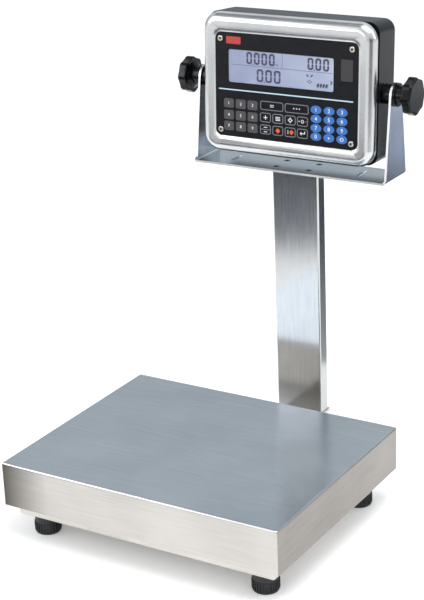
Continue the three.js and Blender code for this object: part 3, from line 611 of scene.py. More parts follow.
class BENCHSCALE_OT_stage(bpy.types.Operator):
    """Adds the camera, the soft studio light and the pale floor"""

    bl_idname = "bench_scale.stage"
    bl_label = "Stage"

    def execute(self, context):
        settings = context.scene.bench_scale_stage
        self.add_camera(context, settings)
        self.add_world(context)
        self.add_floor(settings)
        self.add_cards()
        self.add_lights()
        return {"FINISHED"}

    def add_camera(self, context, settings):
        clear_selection()
        bpy.ops.object.camera_add(location=settings.camera_at)
        camera = context.object
        camera.name = "camera"
        yaw, pitch, roll = settings.yaw, settings.pitch, settings.roll
        forward = Vector((-math.sin(yaw) * math.cos(pitch), math.cos(yaw) * math.cos(pitch),
                          -math.sin(pitch)))
        level = Vector((math.cos(yaw), math.sin(yaw), 0))
        upright = level.cross(forward)
        right = math.cos(roll) * level + math.sin(roll) * upright
        up = -math.sin(roll) * level + math.cos(roll) * upright
        camera.matrix_world = Matrix.Translation(camera.location) @ Matrix(
            (right, up, -forward)).transposed().to_4x4()
        camera.data.lens = settings.lens
        camera.data.sensor_width = 36
        context.scene.camera = camera

    def add_world(self, context):
        """A studio that is white in front and overhead, and a cooler grey low down behind."""
        world = bpy.data.worlds.new("studio")
        world.use_nodes = True
        context.scene.world = world
        tree = world.node_tree
        tree.nodes.clear()
        direction = node(tree, "ShaderNodeTexCoord").outputs["Generated"]
        parts = node(tree, "ShaderNodeSeparateXYZ", {"Vector": direction})
        rear = ramp(tree, parts.outputs["Z"], [
            (0.0, "#a9b2ba"), (0.28, "#bcc7cf"), (0.45, "#e4e8ea"), (0.75, "#f6f6f6"),
        ])
        front = ramp(tree, parts.outputs["Z"], [
            (0.0, "#d9d6d1"), (0.2, "#f4f3f1"), (0.5, "#dfe2e4"), (0.8, "#f2f2f2"),
        ])
        turn = spread(tree, parts.outputs["Y"], 0.0, 1.0, -0.35, 0.35)
        sky = node(tree, "ShaderNodeBackground", {
            "Color": blend(tree, turn, front, rear, "RGBA"), "Strength": 1.0,
        })
        node(tree, "ShaderNodeOutputWorld", {"Surface": sky.outputs["Background"]})
        context.scene.view_settings.view_transform = "Standard"

    def add_floor(self, settings):
        clear_selection()
        bpy.ops.mesh.primitive_plane_add(size=24)
        floor = named("studio_floor")
        made, tree = blank("matt_white_floor")
        grain = texture_factor(tree, 4 * MM, detail=2.0)
        end_material(tree, {
            "Base Color": (*settings.floor, 1.0), "Roughness": spread(tree, grain, 0.85, 0.95),
            "Specular IOR Level": 0.1, "Emission Color": (1, 1, 1, 1), "Emission Strength": 0.2,
        })
        floor.data.materials.append(made)

    def add_cards(self):
        """Studio cards that only the shiny surfaces see, each shaded from front to back.

        Each one has a name, place, size, turn, strength, and colours by distance back, in metres."""
        turn = math.radians(-29)
        upright = math.pi / 2
        cards = [
            ("front_floor_card", (-0.83, -1.33, 0.004), (1.5, 1.8), (0, 0, turn), 1.0,
             [(-1.9, "#2c2e31"), (-1.0, "#4b4f55"), (-0.6, "#9aa0a8")]),
            ("rear_floor_card", (0.6, 1.25, 0.004), (0.5, 1.85), (0, 0, turn), 1.0,
             [(0.44, "#b4b8bc"), (0.85, "#767b83"), (1.1, "#4a4e55"), (1.38, "#3c4046"),
              (1.5, "#8f9db5"), (2.1, "#8f9db5")]),
            ("upright_card", (1.95, -1.3, 0.2), (1.9, 1.8), (upright, 0, math.radians(52)), 1.0,
             [(-2.2, "#5a5d62"), (-0.6, "#4c4f54")]),
            ("overhead_card", (-0.9, 0.05, 2.1), (1.6, 1.5), (0, 0, 0), 1.0,
             [(-0.7, "#a9adb4"), (0.7, "#8b9099")]),
            ("front_left_card", (-1.25, -2.1, 1.0), (2.0, 0.5), (upright, 0, turn), 3.9,
             [(-2.6, "#ffffff"), (-1.6, "#f6f8fa")]),
        ]
        for card in cards:
            self.add_card(*card)

    def add_card(self, name, place, size, turn, strength, stops):
        clear_selection()
        bpy.ops.mesh.primitive_plane_add(size=1, location=place, rotation=turn)
        bpy.context.object.scale = (size[0], size[1], 1)
        card = named(name)
        made, tree = blank(f"{name}_paper")
        first, last = stops[0][0], stops[-1][0]
        factor = spread(tree, place_along(tree, "Y"), 0.0, 1.0, first, last)
        glow = ramp(tree, factor, [((y - first) / (last - first), colour) for y, colour in stops])
        end_material(tree, {
            "Base Color": opaque("#000000"), "Roughness": 1.0, "Specular IOR Level": 0.0,
            "Emission Color": glow, "Emission Strength": strength,
        })
        card.data.materials.append(made)
        for rays in ("camera", "diffuse", "shadow", "transmission"):
            setattr(card, f"visible_{rays}", False)

    def add_lights(self):
        """Three softboxes: one overhead, one to the left in front, and a strip to the right behind."""
        softboxes = [
            ("overhead_softbox", (0.7, -0.3, 2.3), (0, 0, 0.2), (1.4, 1.2), 24),
            ("left_softbox", (-1.7, -1.3, 1.5), (0, 0, 0.3), (1.0, 1.3), 16),
            ("right_strip", (1.5, 0.6, 1.3), (0, 0.1, 0.4), (0.3, 1.2), 6),
        ]
        for name, place, target, size, power in softboxes:
            clear_selection()
            bpy.ops.object.light_add(type="AREA", location=place)
            light = bpy.context.object
            light.name = name
            light.data.shape = "RECTANGLE"
            light.data.size, light.data.size_y = size
            light.data.energy = power
            aim = Vector(target) - Vector(place)
            light.rotation_euler = aim.to_track_quat("-Z", "Y").to_euler()


# ---- Platform ----


class BENCHSCALE_OT_platter(bpy.types.Operator):
    """Folds the platter from one sheet"""

    bl_idname = "bench_scale.platter"
    bl_label = "Platter"

    def execute(self, context):
        settings = context.scene.bench_scale_platform
        low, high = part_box("platter")
        tray = block("platter_tray", low, high)
        delete_faces(tray, at(Z, low.z))
        round_edges(tray, along(Z), settings.corner, 5)
        round_edges(tray, at(Z, high.z), settings.fold, 5)
        apply_modifier(tray, "SOLIDIFY", thickness=settings.sheet, offset=-1, use_even_offset=True)
        front = low.y + settings.fold
        settle(tray, "top_sheet", "platter", "brushed_stainless", ["platter"], [
            # Painted highlight: the upper part of the front fold gets the pale fold finish.
            ("fold", lambda f: f.center.y < front and 0.7 <= f.normal.z < 0.97 and f.normal.y < -0.2),
            # Painted light: the front and side take their own tones of the same sheet; the side's is
            # painted shade.
            ("front_sheet", lambda f: abs(f.normal.z) < 0.7 and abs(f.normal.y) >= abs(f.normal.x)),
            ("side_sheet", lambda f: abs(f.normal.z) < 0.7 and abs(f.normal.x) > abs(f.normal.y)),
        ])
        return {"FINISHED"}


class BENCHSCALE_OT_feet(bpy.types.Operator):
    """Moulds the four ribbed feet"""

    bl_idname = "bench_scale.feet"
    bl_label = "Feet"

    RIBS_FROM, RIBS_TO = 3.0 * MM, 15.5 * MM
    SOLE_ROUND, CAP_ROUND = 1.6 * MM, 3.4 * MM
    DISH_RIM, DISH_DEPTH = 5.5 * MM, 1.0 * MM

    def execute(self, context):
        settings = context.scene.bench_scale_platform
        master = self.pad(settings)
        for place in ("front_left", "front_right", "rear_left", "rear_right"):
            low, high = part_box(f"foot_pad_{place}")
            middle = (low + high) / 2
            pad = copy_of(master, f"foot_{place}", move=(middle.x, middle.y, 0))
            settle(pad, "rubber", f"foot_{place}", "black_rubber", [f"foot_pad_{place}"],
                   soften=0.25 * MM, angle=30)
        bpy.data.objects.remove(master)
        return {"FINISHED"}

    def pad(self, settings):
        """A ribbed drum under a smooth cap, on the origin."""
        low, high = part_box("foot_pad_front_left")
        radius = (high.x - low.x) / 2
        top = high.z
        core = radius - settings.rib_height
        centre = (0, 0, 0)
        drum = rod("foot_master", core, self.RIBS_FROM, self.RIBS_TO, Z, centre, settings.ribs * 2)
        edit(drum)
        choose(drum, "FACE", lambda f: abs(f.normal.z) < 0.5 and self.is_rib(f, settings.ribs))
        bpy.ops.mesh.inset(thickness=0.25 * MM, use_individual=True)
        bpy.ops.mesh.extrude_region_shrink_fatten(
            TRANSFORM_OT_shrink_fatten={"value": settings.rib_height * 0.85})
        leave()
        sole = rod("foot_sole", core + 0.3 * MM, 0, self.RIBS_FROM + 0.6 * MM, Z, centre)
        round_edges(sole, at(Z, 0), self.SOLE_ROUND, 4)
        cap = rod("foot_cap", core + 0.1 * MM, self.RIBS_TO - 0.5 * MM, top, Z, centre)
        round_edges(cap, at(Z, top), self.CAP_ROUND, 6)
        step_face(cap, lambda f: f.normal.z > 0.9 and len(f.verts) > 8, self.DISH_RIM,
                  (0, 0, -self.DISH_DEPTH))
        return combine(drum, [sole, cap], "UNION")

    def is_rib(self, face, ribs):
        centre = face.calc_center_median()
        step = math.atan2(centre.y, centre.x) / (math.pi / ribs)
        return int(math.floor(step + 1e-4)) % 2 == 0


class BENCHSCALE_OT_base(bpy.types.Operator):
    """Finishes the welded base frame, the load cell and the upper frame"""

    bl_idname = "bench_scale.base"
    bl_label = "Base frame"

    BEAD = 1.2 * MM
    RIPPLE, RIPPLE_PITCH = 1.5 * MM, 1.6 * MM

    def execute(self, context):
        nodes = frame["nodes"]
        finish_cad(["base_tube_front", "base_tube_rear", "base_centre_beam"], "tube")
        finish_cad(["base_tube_left", "base_tube_right", "column_support"], "tube_side")
        finish_cad([n for n in nodes if n.startswith("upper_")], "tube_side")
        finish_cad([n for n in nodes if n.startswith("load_cell_spacer")], "tube")
        finish_cad([n for n in nodes if n.startswith(("load_cell_bolt", "foot_stud", "knob_stud"))], "zinc")
        finish_cad([n for n in nodes if n.startswith("bracket_screw")], "black_oxide")
        finish_cad([n for n in nodes if n.startswith("platter_pad")], "rubber")
        finish_cad(["load_cell"], "aluminium")
        finish_cad(["main_board"], "board")
        finish_cad(["battery_pack"], "battery")
        finish_cad(["column_base_plate", "column_top_plate"], "bracket_sheet")
        self.add_welds()
        return {"FINISHED"}

    def add_welds(self):
        """A bead round the column's foot, and one up each outer seam of the base frame."""
        low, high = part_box("column")
        overlap = Vector((0.3, 0.3, 0)) * MM
        edge = Vector((self.BEAD, self.BEAD, 0))
        top = low.z + self.BEAD
        foot = block("column_weld", low - edge - Vector((0, 0, 0.2 * MM)),
                     Vector((high.x, high.y, top)) + edge)
        round_edges(foot, along(Z), 3.5 * MM, 4)
        round_edges(foot, at(Z, top), self.BEAD * 0.9, 3)
        hole = block("weld_hole", low + overlap - Vector((0, 0, MM)), high - overlap)
        combine(foot, [hole])
        settle(foot, "weld", "base", "frame_steel")
        self.seam_welds()

    def seam_welds(self):
        """Overlapping ripples where the side tubes meet the front and rear tubes."""
        ripples = []
        for side in ("left", "right"):
            low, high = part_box(f"base_tube_{side}")
            x = low.x if side == "left" else high.x
            for y in (low.y, high.y):
                ripples += self.seam(x, y, low.z + MM, high.z - MM)
        seams = join(ripples, "frame_seam_welds")
        settle(seams, "weld", "base", "frame_steel")

    def seam(self, x, y, bottom, top):
        """One bead: a row of flattened ripples."""
        beads = []
        for number in range(int((top - bottom) / self.RIPPLE_PITCH)):
            clear_selection()
            bpy.ops.mesh.primitive_uv_sphere_add(
                segments=12, ring_count=8, radius=self.RIPPLE, scale=(0.5, 1.1, 0.9),
                location=(x, y, bottom + (number + 0.5) * self.RIPPLE_PITCH))
            beads.append(named("ripple"))
        return beads


# ---- Column and bracket ----


class BENCHSCALE_OT_column(bpy.types.Operator):
    """Draws the column's tube"""

    bl_idname = "bench_scale.column"
    bl_label = "Column"

    def execute(self, context):
        settings = context.scene.bench_scale_column
        low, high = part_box("column")
        tube = block("column_tube", low, high)
        delete_faces(tube, lambda f: abs(f.normal.z) > 0.9)
        round_edges(tube, along(Z), settings.corner, 6)
        apply_modifier(tube, "SOLIDIFY", thickness=settings.wall, offset=-1, use_even_offset=True)
        settle(tube, "column_sheet", "base", "brushed_stainless", ["column"])
        return {"FINISHED"}


class BENCHSCALE_OT_bracket(bpy.types.Operator):
    """Bends the tilt bracket and trims its arms round the pivot"""

    bl_idname = "bench_scale.bracket"
    bl_label = "Tilt bracket"

    PIVOT_HOLE = 4.3 * MM
    SCREW_HOLE = 4.2 * MM
    SLOT = (2.5 * MM, 14 * MM)  # half its width, half its length
    SLOT_X = 95.5 * MM
    ARM_INSET = 4.5 * MM  # how far an arm's front edge stands behind the bottom's
    PAST = 5 * MM  # how far the cutting tools run past the sheet

    def execute(self, context):
        settings = context.scene.bench_scale_column
        low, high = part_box("tilt_bracket")
        sheet = block("bracket_sheet", low, high + Vector((0, 0, 2 * MM)))
        delete_faces(sheet, lambda f: abs(f.normal.y) > 0.9 or f.normal.z > 0.9)
        round_edges(sheet, lambda e: along(Y)(e) and at(Z, low.z)(e), settings.bend, 6)
        apply_modifier(sheet, "SOLIDIFY", thickness=settings.bracket_sheet, offset=-1,
                       use_even_offset=True)
        combine(sheet, [self.outline(low, high, settings)], "INTERSECT")
        combine(sheet, self.openings(low, high))
        settle(sheet, "bracket_sheet", "base", "brushed_stainless", ["tilt_bracket"], [
            # Painted light: the arms are painted lighter than the bottom of the same sheet.
            ("arm_sheet", lambda f: abs(f.normal.x) > 0.6),
            # Painted highlight: the cut edges are painted paler than the sheet.
            ("cut_edge", lambda f: abs(f.normal.y) > 0.6),
        ], soften=0.3 * MM, angle=30)
        return {"FINISHED"}

    def outline(self, low, high, settings):
        """What the bent sheet is trimmed to, seen from the side."""
        bend = low.z + settings.bend + 1.5 * MM
        left, right = low.x - self.PAST, high.x + self.PAST
        waist, knee = [block(name, (left, low.y + self.ARM_INSET, bend - 0.5 * MM),
                             (right, high.y, bend)) for name in ("waist", "knee")]
        tip = rod("tip", settings.tip, left, right, X, PIVOT, 96)
        arms = self.hull([waist, tip], "arm_outline")
        base = block("base", (left, low.y, low.z - MM), (right, high.y, low.z + 3 * MM))
        return combine(arms, [self.hull([base, knee], "base_outline")], "UNION")

    def hull(self, parts, name):
        whole = join(parts, name)
        edit(whole)
        bpy.ops.mesh.select_all(action="SELECT")
        bpy.ops.mesh.convex_hull()
        leave()
        return whole

    def openings(self, low, high):
        """The pivot holes, the two slots, and the countersunk screw holes."""
        middle = (low.y + high.y) / 2
        past = self.PAST
        tools = [rod("pivot_hole", self.PIVOT_HOLE, low.x - past, high.x + past, X, PIVOT, 48)]
        half_width, half_length = self.SLOT
        for side in (-1, 1):
            x = side * self.SLOT_X
            slot = block("slot", (x - half_width, middle - half_length, low.z - past),
                         (x + half_width, middle + half_length, low.z + past))
            tools.append(round_edges(slot, along(Z), half_width - 0.05 * MM, 8))
        for number in range(1, 5):
            head_low, head_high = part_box(f"bracket_screw_{number}")
            centre = (head_low + head_high) / 2
            tools.append(rod("screw_hole", self.SCREW_HOLE, head_high.z - 1.6 * MM,
                             head_high.z + past, Z, centre, 32))
        return tools


# ---- Indicator ----


def panel_block(name, left, right, low, high, front, back, radius):
    """A plate on the panel in the indicator's axes, its corners rounded, in panel millimetres."""
    plate = block(name, (left * MM, front, PANEL_LOW + low * MM),
                  (right * MM, back, PANEL_LOW + high * MM))
    if radius:
        round_edges(plate, along(Y), radius * MM, 5)
    return plate


def rounded_plate(name, width, height, middle, front, back, radius, segments=10):
    """A plate centred on x, with rounded corners, in the indicator's axes."""
    plate = block(name, (-width / 2, front, middle - height / 2), (width / 2, back, middle + height / 2))
    return round_edges(plate, along(Y), radius, segments)


def panel_stroke(name, start, end, width, front, back, point=0):
    """A straight stroke between two points of the panel, in panel millimetres; point cuts its ends."""
    start, end = Vector(start), Vector(end)
    run = end - start
    half = run.length / 2 * MM
    stroke = block(name, (-half, front, -width * MM / 2), (half, back, width * MM / 2))
    if point:
        round_edges(stroke, along(Y), point, 1)
    middle = (start + end) / 2
    turn = Matrix.Rotation(-math.atan2(run.y, run.x), 4, "Y")
    stroke.matrix_world = Matrix.Translation((middle.x * MM, 0, PANEL_LOW + middle.y * MM)) @ turn
    return fix_place(stroke)


class BENCHSCALE_OT_bezel(bpy.types.Operator):
    """Presses the polished bezel"""

    bl_idname = "bench_scale.bezel"
    bl_label = "Bezel"

    DEPTH = 13.5 * MM
    WALL = 7.5 * MM
    FRONT_WALL = 4.3 * MM
    LIP = 15 * MM  # what is left round the panel to carry it

    def execute(self, context):
        settings = context.scene.bench_scale_indicator
        back = FACE + self.DEPTH
        bezel = rounded_plate("bezel", BEZEL_WIDTH, BEZEL_HEIGHT, BEZEL_MIDDLE, FACE, back,
                              settings.corner, 12)
        round_edges(bezel, at(Y, FACE), settings.roll, 12)
        combine(bezel, [self.recess(settings), self.opening()])
        pocket = rounded_plate("pocket", BEZEL_WIDTH - 2 * self.WALL, BEZEL_HEIGHT - 2 * self.WALL,
                               BEZEL_MIDDLE, FACE + self.FRONT_WALL, back + MM, 18 * MM)
        combine(bezel, [pocket])
        settle(bezel, "polished", "indicator", "polished_stainless", ["front_bezel"], lean=True,
               soften=0.35 * MM, angle=22)
        return {"FINISHED"}

    def recess(self, settings):
        """The sloped step down to the panel: wide at the face, and the panel's size below."""
        gap = 0.3 * MM
        mouth = FILM_FACE + gap
        tool = rounded_plate("recess", PANEL_WIDTH + 2 * gap, PANEL_HEIGHT + 2 * gap, PANEL_MIDDLE,
                             mouth, FILM_BACK + gap, 9 * MM)
        edit(tool)
        choose(tool, "FACE", at(Y, mouth))
        rise = FACE - mouth
        bpy.ops.mesh.extrude_region_move(TRANSFORM_OT_translate={"value": (0, rise, 0)})
        bpy.ops.transform.resize(
            value=(1 + 2 * settings.rim / PANEL_WIDTH, 1, 1 + 2 * settings.rim / PANEL_HEIGHT),
            center_override=(0, FACE, PANEL_MIDDLE))
        bpy.ops.mesh.extrude_region_move(TRANSFORM_OT_translate={"value": (0, -2 * MM, 0)})
        leave()
        return tool

    def opening(self):
        """The hole behind the panel, with a lip left all round to carry it."""
        width, height = PANEL_WIDTH - 2 * self.LIP, PANEL_HEIGHT - 2 * self.LIP
        return rounded_plate("opening", width, height, PANEL_MIDDLE, FACE - MM, FACE + 20 * MM,
                             3 * MM, 4)


class BENCHSCALE_OT_housing(bpy.types.Operator):
    """Moulds the rear housing, its gasket and the cable glands"""

    bl_idname = "bench_scale.housing"
    bl_label = "Housing"

    DRAFT = math.radians(1.2)
    CORNER = 15.3 * MM
    BACK_ROUND = 6 * MM
    WALL = 6 * MM
    BACK_WALL = 3 * MM
    GASKET_CORNER = 21.8 * MM
    GASKET_WIDTH = 7 * MM
    BACK_BORDER, BACK_DEPTH = 9 * MM, 0.8 * MM
    GLAND_NUT, GLAND_DOME, GLAND_BORE = 8.9 * MM, 7.4 * MM, 3 * MM

    def execute(self, context):
        self.gasket()
        self.shell()
        for name in ("load_cell_gland", "power_gland"):
            self.gland(name)
        return {"FINISHED"}

    def gasket(self):
        low, high = own_box("housing_gasket")
        front, back = low.y, high.y
        inset = low.x - BEZEL_LOW.x
        ring = rounded_plate("gasket", BEZEL_WIDTH - 2 * inset, BEZEL_HEIGHT - 2 * inset, BEZEL_MIDDLE,
                             front, back, self.GASKET_CORNER)
        inner = inset + self.GASKET_WIDTH
        hole = rounded_plate("hole", BEZEL_WIDTH - 2 * inner, BEZEL_HEIGHT - 2 * inner, BEZEL_MIDDLE,
                             front - MM, back + MM, self.GASKET_CORNER - self.GASKET_WIDTH)
        combine(ring, [hole])
        settle(ring, "gasket", "indicator", "black_rubber", ["housing_gasket"], lean=True,
               soften=1.2 * MM, segments=4, angle=50)

    def shell(self):
        """A drafted box, rounded behind, hollow inside, with a shallow panel in its back."""
        low, high = own_box("rear_housing")
        front, back = low.y, high.y
        width, height = high.x - low.x, high.z - low.z
        draft = 2 * (back - front) * math.tan(self.DRAFT)
        shell = rounded_plate("housing", width, height, BEZEL_MIDDLE, front, back, self.CORNER, 12)
        edit(shell)
        choose(shell, "FACE", at(Y, back))
        bpy.ops.transform.resize(value=(1 - draft / width, 1, 1 - draft / height),
                                 center_override=(0, back, BEZEL_MIDDLE))
        leave()
        round_edges(shell, at(Y, back), self.BACK_ROUND, 8)
        hollow = rounded_plate("hollow", width - 2 * self.WALL, height - 2 * self.WALL, BEZEL_MIDDLE,
                               front - MM, back - self.BACK_WALL, 10 * MM)
        combine(shell, [hollow])
        step_face(shell, lambda f: f.normal.y > 0.99 and f.calc_area() > 0.02, self.BACK_BORDER,
                  (0, -self.BACK_DEPTH, 0))
        settle(shell, "black_abs", "indicator", "black_plastic", ["rear_housing"], lean=True,
               soften=0.4 * MM, angle=28)

    def gland(self, name):
        """A hexagon flange and a domed nut round an empty bore."""
        low, high = own_box(name)
        back, middle = low.y, (low + high) / 2
        flange, end = back + 5 * MM, back + 16 * MM
        nut = rod(f"{name}_body", self.GLAND_NUT, back, flange, Y, middle, 6)
        dome = rod("dome", self.GLAND_DOME, flange - MM, end, Y, middle, 48)
        round_edges(dome, at(Y, end), 3.2 * MM, 6)
        combine(nut, [dome], "UNION")
        combine(nut, [rod("bore", self.GLAND_BORE, back + 3 * MM, end + MM, Y, middle, 32)])
        settle(nut, "black_nylon", "indicator", "black_plastic", [name], lean=True,
               soften=0.3 * MM, angle=30)


class BENCHSCALE_OT_film(bpy.types.Operator):
    """Lays the printed keypad film and its keys"""

    bl_idname = "bench_scale.film"
    bl_label = "Keypad"

    # The keys' middles, in millimetres from the panel's centre line and up from its lower edge.
    GREY_COLUMNS, GREY_ROWS = (-85.8, -67.4, -49.2), (44.8, 29.0, 14.0)
    BOX_COLUMNS, BOX_ROWS = (-29.6, -10.9, 7.7, 26.0), (30.4, 14.3)
    BLUE_COLUMNS, BLUE_ROWS = (46.0, 65.0, 84.0), (48.0, 36.0, 23.8, 12.4)
    WIDE_KEYS = ((-37.4, -2.7, 40.4, 52.6), (-0.5, 34.9, 40.4, 52.6))

    # White signs: a point of the panel, then strokes from it as (across, up, across, up, width).
    SIGNS = (
        (-19.9, 46.5, [(-2.7, v, 2.7, v, 0.8) for v in (-1.1, 1.1)]),  # two short lines
        (17.2, 46.5, [(u - 0.8, 0, u + 0.8, 0, 1.6) for u in (-4.2, 0, 4.2)]),  # three dots
        (-29.6, 30.4, [(-2.8, 0, 2.8, 0, 1.2), (0, -2.8, 0, 2.8, 1.2)]),  # a plus
        (-10.9, 30.4, [(-3.5, v, 3.5, v, 1.0) for v in (-2, 0, 2)]),  # a list
        (7.7, 30.4, [(2.4 * a, 2.4 * b, 3.6 * a, 3.6 * b, 1.0)  # four ticks round a ring
                     for a, b in ((1, 0), (-1, 0), (0, 1), (0, -1))]),
        (26.0, 30.4, [(-6.2, 0, -4.0, 0, 0.9)]),  # a stroke left of a ring
        (-29.6, 14.3, [(-2.6, v, 2.6, v, 0.9) for v in (2.9, -3.1)]),  # a line in each half
        (7.7, 14.3, [(-4.3, v, -2.5, v, 0.8) for v in (-1.9, 0, 1.9)]),  # beside a diamond
        (26.0, 14.3, [(-3.4, 0, 3.4, 0, 1.0), (3.4, -0.5, 3.4, 3.1, 1.0),  # a hooked arrow
                      (-3.4, 0, -1.2, 1.9, 0.9), (-3.4, 0, -1.2, -1.9, 0.9)]),
    )

    def execute(self, context):
        settings = context.scene.bench_scale_indicator
        self.film()
        self.printed_areas()
        self.grey_keys()
        self.outlined_keys(settings)
        self.blue_keys()
        self.legends()
        return {"FINISHED"}

    def film(self):
        film = rounded_plate("keypad_film", PANEL_WIDTH, PANEL_HEIGHT, PANEL_MIDDLE, FILM_FACE,
                             FILM_BACK, 9 * MM)
        left, right, low, high = WINDOW
        hole = panel_block("hole", left, right, low, high, FILM_FACE - MM, FILM_BACK + MM, 2.5)
        combine(film, [hole])
        settle(film, "film", "indicator", "panel_film", ["keypad_overlay"], lean=True,
               soften=0.2 * MM, angle=40)

    def raised(self, name, left, right, low, high, radius, height, soften=0.0):
        """A printed or embossed shape that stands a little off the film."""
        piece = panel_block(name, left, right, low, high, FILM_FACE - height * MM,
                            FILM_FACE + 0.05 * MM, radius)
        if soften:
            round_edges(piece, at(Y, FILM_FACE - height * MM), soften * MM, 3)
        return piece

    def keep(self, piece, finish, by_face=()):
        settle(piece, finish, "indicator", "panel_film", by_face=by_face, lean=True, angle=40)

    def printed_areas(self):
        self.keep(self.raised("divider_line", -101.2, 99.5, 62.5, 64.1, 0.3, 0.12), "pale_line")
        self.keep(self.raised("sensor_patch", 81.3, 98.5, 88.9, 117.2, 1.6, 0.12), "sensor")
        self.keep(self.raised("blank_badge", -89.4, -67.3, 124.6, 134.3, 0.8, 0.3, 0.15), "badge")

    def grey_keys(self):
        keys = [self.raised(f"key_{u}_{v}", u - 7.7, u + 7.7, v - 6.3, v + 6.3, 2.6, 0.6, 0.35)
                for u in self.GREY_COLUMNS for v in self.GREY_ROWS]
        self.keep(join(keys, "grey_keys"), "grey_key")

    def outlined_keys(self, settings):
        """Keys with a raised outline round a film-black middle."""
        boxes = [*self.WIDE_KEYS]
        boxes += [(u - 8.1, u + 8.1, v - 6.4, v + 6.4)
                  for u in self.BOX_COLUMNS for v in self.BOX_ROWS]
        keys = []
        for left, right, low, high in boxes:
            height = 0.35
            key = self.raised("outlined_key", left, right, low, high, 3.0, height)
            step_face(key, at(Y, FILM_FACE - height * MM), settings.outline, (0, 0.25 * MM, 0))
            keys.append(key)
        keys.append(self.raised("split_line", -37.0, -22.2, 13.8, 14.8, 0, 0.3))
        whole = join(keys, "outlined_keys")
        floor = FILM_FACE - 0.12 * MM
        self.keep(whole, "outline", [("film", lambda f: f.normal.y < -0.9 and f.center.y > floor)])

    def blue_keys(self):
        """Ovals: cylinders stretched across, with a rounded top edge."""
        half_width, half_height = 7.9 * MM, 5.6 * MM
        below, above = 0.05 * MM, 0.55 * MM
        keys = []
        for u in self.BLUE_COLUMNS:
            for v in self.BLUE_ROWS:
                clear_selection()
                bpy.ops.mesh.primitive_cylinder_add(
                    vertices=48, radius=1, depth=1,
                    location=(u * MM, FILM_FACE - (above - below) / 2, PANEL_LOW + v * MM),
                    rotation=AXIS_TURN[Y])
                key = bpy.context.object
                key.scale = (half_width, half_height, above + below)
                key = named("blue_key")
                keys.append(round_edges(key, at(Y, FILM_FACE - above), 0.35 * MM, 3))
        self.keep(join(keys, "blue_keys"), "blue_key")

    def bar(self, u0, v0, u1, v1, width, front):
        """A printed stroke from one point of the panel to another."""
        return panel_stroke("stroke", (u0, v0), (u1, v1), width, front, front + 0.2 * MM)

    def figure(self, text, u, v, size, front):
        """A printed numeral, centred on a point of the panel."""
        clear_selection()
        bpy.ops.object.text_add(location=(u * MM, front + 0.1 * MM, PANEL_LOW + v * MM),
                                rotation=(math.pi / 2, 0, 0))
        made = bpy.context.object
        made.data.body = text
        made.data.size = size * MM
        made.data.align_x = "CENTER"
        made.data.align_y = "CENTER"
        made.data.extrude = 0.1 * MM
        made.data.offset = 0.05 * MM
        only(made)
        bpy.ops.object.convert(target="MESH")
        return named("figure")

    def ring(self, u, v, radius, width, front):
        """A printed ring."""
        middle = (u * MM, 0, PANEL_LOW + v * MM)
        outer = rod("ring", radius * MM, front, front + 0.2 * MM, Y, middle, 32)
        hole = rod("hole", (radius - width) * MM, front - MM, front + MM, Y, middle, 32)
        return combine(outer, [hole])

    def diamond(self, u, v, size, front):
        return self.bar(u - size / 2, v - size / 2, u + size / 2, v + size / 2, size * 1.41, front)

    def legends(self):
        """Numerals and plain signs in white and orange."""
        flat = FILM_FACE - 0.25 * MM
        key_top = FILM_FACE - 0.7 * MM
        white = []
        for columns, rows, size in ((self.GREY_COLUMNS, self.GREY_ROWS, 5.6),
                                    (self.BLUE_COLUMNS, self.BLUE_ROWS[:3], 7.0)):
            places = [(u, v) for v in rows for u in columns]
            for number, (u, v) in enumerate(places, start=1):
                white.append(self.figure(str(number), u, v, size, key_top))
        # The lowest blue keys: a nought, a point and a ring.
        first, second, third = self.BLUE_COLUMNS
        lowest = self.BLUE_ROWS[-1]
        white.append(self.figure("0", first, lowest, 7.0, key_top))
        white.append(rod("point", 1.1 * MM, key_top, key_top + 0.2 * MM, Y,
                         (second * MM, 0, PANEL_LOW + lowest * MM), 24))
        white.append(self.ring(third, lowest, 2.5, 0.8, key_top))
        for u, v, strokes in self.SIGNS:
            white += [self.bar(u + a, v + b, u + c, v + d, width, flat)
                      for a, b, c, d, width in strokes]
        white += [self.ring(7.7, 30.4, 2.6, 1.0, flat), self.ring(26.0, 30.4, 2.3, 0.8, flat)]
        self.keep(join(white, "white_legends"), "white_ink")
        orange = [self.diamond(-10.9, 14.3, 3.6, flat), self.diamond(9.6, 14.3, 3.6, flat),
                  self.bar(30.0, 30.4, 32.2, 30.4, 0.9, flat)]
        self.keep(join(orange, "orange_legends"), "orange_ink")


